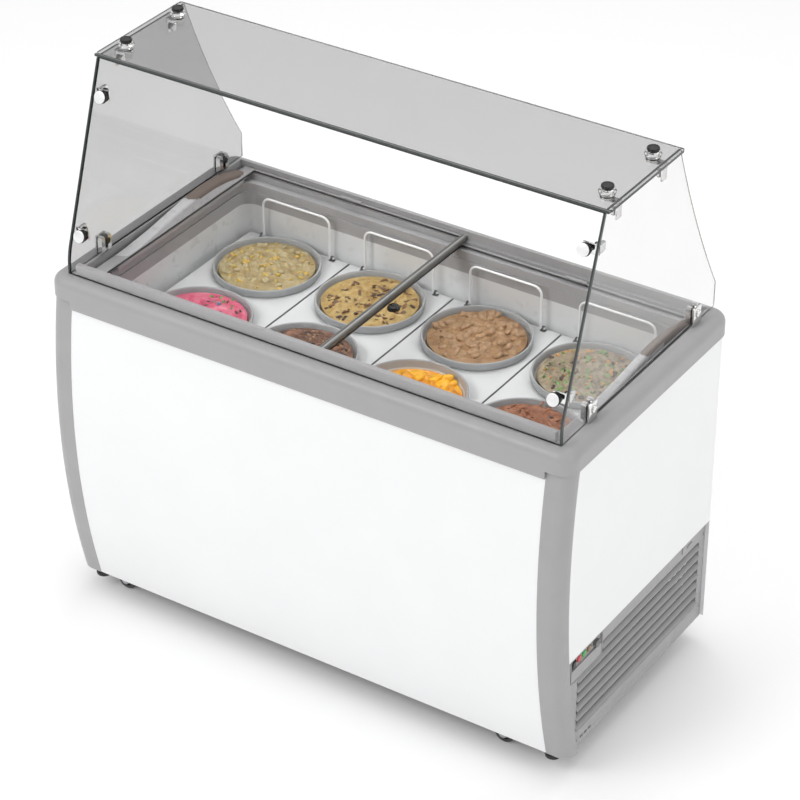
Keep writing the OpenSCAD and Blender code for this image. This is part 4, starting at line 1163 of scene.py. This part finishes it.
def grille_sheet():
    """Face of the grille, cut out for the louvres, the panel and three small slots."""
    heights = [FACE_Z0 + (FACE_Z1 - FACE_Z0) * i / 16 for i in range(17)]
    outer = [(bow_y(z, 0.0326), z) for z in heights] + [(FACE_Y1, FACE_Z1), (FACE_Y1, FACE_Z0)]
    holes = [rounded_rect(*LV_Y, *LV_Z, 0.008, 5), rounded_rect(*PANEL_Y, *PANEL_Z, 0.006, 5)]
    for i in range(3):
        holes.append(rounded_rect(-0.205 + i * 0.016, -0.193 + i * 0.016, 0.066, 0.071, 0.002, 3))
    bm = cut_sheet(outer, holes, GX - 0.0032, GX)
    bevel_all(bm, 0.0007, 2, 60)
    # returned edges behind the face
    t = 0.003
    for y, z, yy, zz in ((FACE_Y1 - t, FACE_Z0, FACE_Y1, FACE_Z1), (-0.23, FACE_Z0, FACE_Y1, FACE_Z0 + t),
                         (-0.262, FACE_Z1 - t, FACE_Y1, FACE_Z1)):
        soft_box(bm, (GX - 0.010, y, z), (GX - 0.002, yy, zz), 0.0008)
    return bm


def panel_lip(bm):
    """Raised lip round the control panel."""
    (y0, y1), (z0, z1), t = PANEL_Y, PANEL_Z, 0.0016
    pts = rounded_rect(y0, y1, z0, z1, 0.006, 5)
    inner = rounded_rect(y0 + t, y1 - t, z0 + t, z1 - t, 0.0046, 5)
    steps = ((GX - 0.006, pts), (GX + 0.0012, pts), (GX + 0.0012, inner), (GX - 0.006, inner))
    vs = [[bm.verts.new((x, *p)) for p in ring] for x, ring in steps]
    for a, b in zip(vs, vs[1:]):
        skin(bm, a, b)


def louvres(bm):
    """Seven tilted blades: rolled outer lip, sloped web, hooked inner edge."""
    blade = [(-3.4, -1), (6.0, -1), (7.4, -2.4), (8.2, -1.2), (7.6, 0.6), (6.2, 1.2), (-2.6, 1), (-3.4, 0.5)]
    pitch = (LV_Z[1] - LV_Z[0]) / 7
    ct, st = math.cos(math.radians(35)), math.sin(math.radians(35))
    for i in range(7):
        zc = LV_Z[0] + (i + 0.5) * pitch
        sect = [(GX - 0.0035 + u * MM * ct + v * MM * st, zc - u * MM * st + v * MM * ct) for u, v in blade]
        start = LV_Y[0] - 0.001 if zc < PANEL_Z[0] - 0.003 else PANEL_Y[1] + 0.001
        prism(bm, sect, "y", start, LV_Y[1] + 0.001)
    for y in (-0.12, 0.0, 0.12):
        soft_box(bm, (GX - 0.013, y - 0.002, LV_Z[0] - 0.004), (GX - 0.010, y + 0.002, LV_Z[1] + 0.004),
                 0.0006)
    # frame behind the louvre field
    (y0, y1), (z0, z1), t = LV_Y, LV_Z, 0.004
    for y, z, yy, zz in ((y0 - t, z0 - t, y1 + t, z0), (PANEL_Y[1], z1, y1 + t, z1 + t),
                         (y1, z0, y1 + t, z1), (y0 - t, z0, y0, PANEL_Z[0])):
        soft_box(bm, (GX - 0.012, y, z), (GX - 0.0028, yy, zz), 0.0006)


def make_grille():
    bm = grille_sheet()
    panel_lip(bm)
    louvres(bm)
    # catch near the top rear corner
    soft_box(bm, (GX - 0.001, 0.191, 0.268), (GX + 0.0022, 0.203, 0.290), 0.001)
    soft_box(bm, (GX - 0.001, 0.214, 0.270), (GX + 0.0016, 0.234, 0.276), 0.0008)
    finish_obj("grille_face", bm, "grille_grey", replaces="condenser_grille", angle=35)
    # screws; each cross recess is drawn as black inlays on the head, painted shade for the shadow in the
    # recess
    bm = bmesh.new()
    head = [(0, -0.008), (0.0024, -0.008), (0.0024, 0.0), (0.0048, 0.0001), (0.0046, 0.0008),
            (0.0036, 0.0013), (0.0018, 0.0016), (0, 0.0016)]
    for y, z in ((-0.256, 0.205), (-0.222, 0.072), (0.281, 0.266), (0.281, 0.084)):
        lathe(bm, head, frame_at((GX, y, z), (1, 0, 0)), 24, 0)
        for a, b in ((0.0026, 0.0005), (0.0005, 0.0026)):
            soft_box(bm, (GX + 0.0011, y - a, z - b), (GX + 0.00166, y + a, z + b), 0.0001, 1, mat=1)
    finish_obj("grille_screw_set", bm, ["screw_steel", "rubber_black"], replaces="grille_screws")


LAMPS = {"lamp_red": -0.215, "lamp_green": -0.196, "lamp_amber": -0.177}
ROCKER_Y, DIAL_Y = -0.237, -0.153


def make_controls():
    plate = rounded_rect(*PANEL_Y, *PANEL_Z, 0.006, 5)
    ring = [(0.0062 * math.cos(a), 0.0062 * math.sin(a)) for a in circle(24)]
    holes = [[(y + u, CTRL_Z + v) for u, v in ring] for y in LAMPS.values()]
    corners = ((-1, -1), (1, -1), (1, 1), (-1, 1))
    holes.append([(ROCKER_Y + u * 0.0065, CTRL_Z + v * 0.0095) for u, v in corners])
    bm = cut_sheet(plate, holes, GX - 0.006, GX - 0.004)
    # lower shelf of the panel, raised
    lower = rounded_rect(PANEL_Y[0], PANEL_Y[1], PANEL_Z[0], PANEL_Z[0] + 0.030, 0.004, 4)
    tmp = bmesh.new()
    prism(tmp, lower, "x", GX - 0.0042, GX - 0.0002)
    bevel_all(tmp, 0.0008, 2)
    merge(bm, tmp, 1)
    # rocker bezel: lower, upper, front and rear bar
    y0, y1, z0, z1, t = ROCKER_Y - 0.0082, ROCKER_Y + 0.0082, CTRL_Z - 0.0112, CTRL_Z + 0.0112, 0.0019
    for y, z, yy, zz in ((y0, z0, y1, z0 + t), (y0, z1 - t, y1, z1), (y0, z0, y0 + t, z1),
                         (y1 - t, z0, y1, z1)):
        soft_box(bm, (GX - 0.0042, y, z), (GX - 0.0022, yy, zz), 0.0005, mat=2)
    # ticks round the dial
    for i in range(7):
        a = math.radians(-40 + i * 43.3)
        y, z = DIAL_Y + 0.0120 * math.cos(a), CTRL_Z + 0.0120 * math.sin(a)
        t = 0.0006
        soft_box(bm, (GX - 0.0041, y - t, z - t), (GX - 0.0034, y + t, z + t), 0.0002, 1, mat=3)
    finish_obj("control_panel_face", bm, ["panel_recess", "grille_grey", "black_plastic", "ivory"],
               replaces="control_panel", angle=35)
    lens = [(0, -0.010), (0.0058, -0.010), (0.0058, 0.0), (0.0082, 0.0), (0.0082, 0.0014), (0.0074, 0.0022),
            (0.0050, 0.0027), (0.0, 0.0028)]
    for name, y in LAMPS.items():
        bm = bmesh.new()
        lathe(bm, lens, frame_at((GX - 0.004, y, CTRL_Z), (1, 0, 0)), 32)
        finish_obj(name + "_lens", bm, name, replaces="indicator_lamps", angle=50)


def make_feet():
    """Black levelling plugs pressed into the ends of the corner posts."""
    bm = bmesh.new()
    plug = [(0, 0.0345), (0.0135, 0.0345), (0.0160, 0.0362), (0.0168, 0.0400), (0.0168, 0.0450),
            (0.0130, 0.0462), (0.0130, 0.0505), (0, 0.0505)]
    for s in (-1, 1):
        lathe(bm, plug, Matrix.Translation((s * 0.554, -0.2450, 0)), 32)
    finish_obj("post_feet", bm, "rubber_black", angle=40)


make_food_materials()
make_ice_cream()
make_grille()
make_controls()
make_feet()
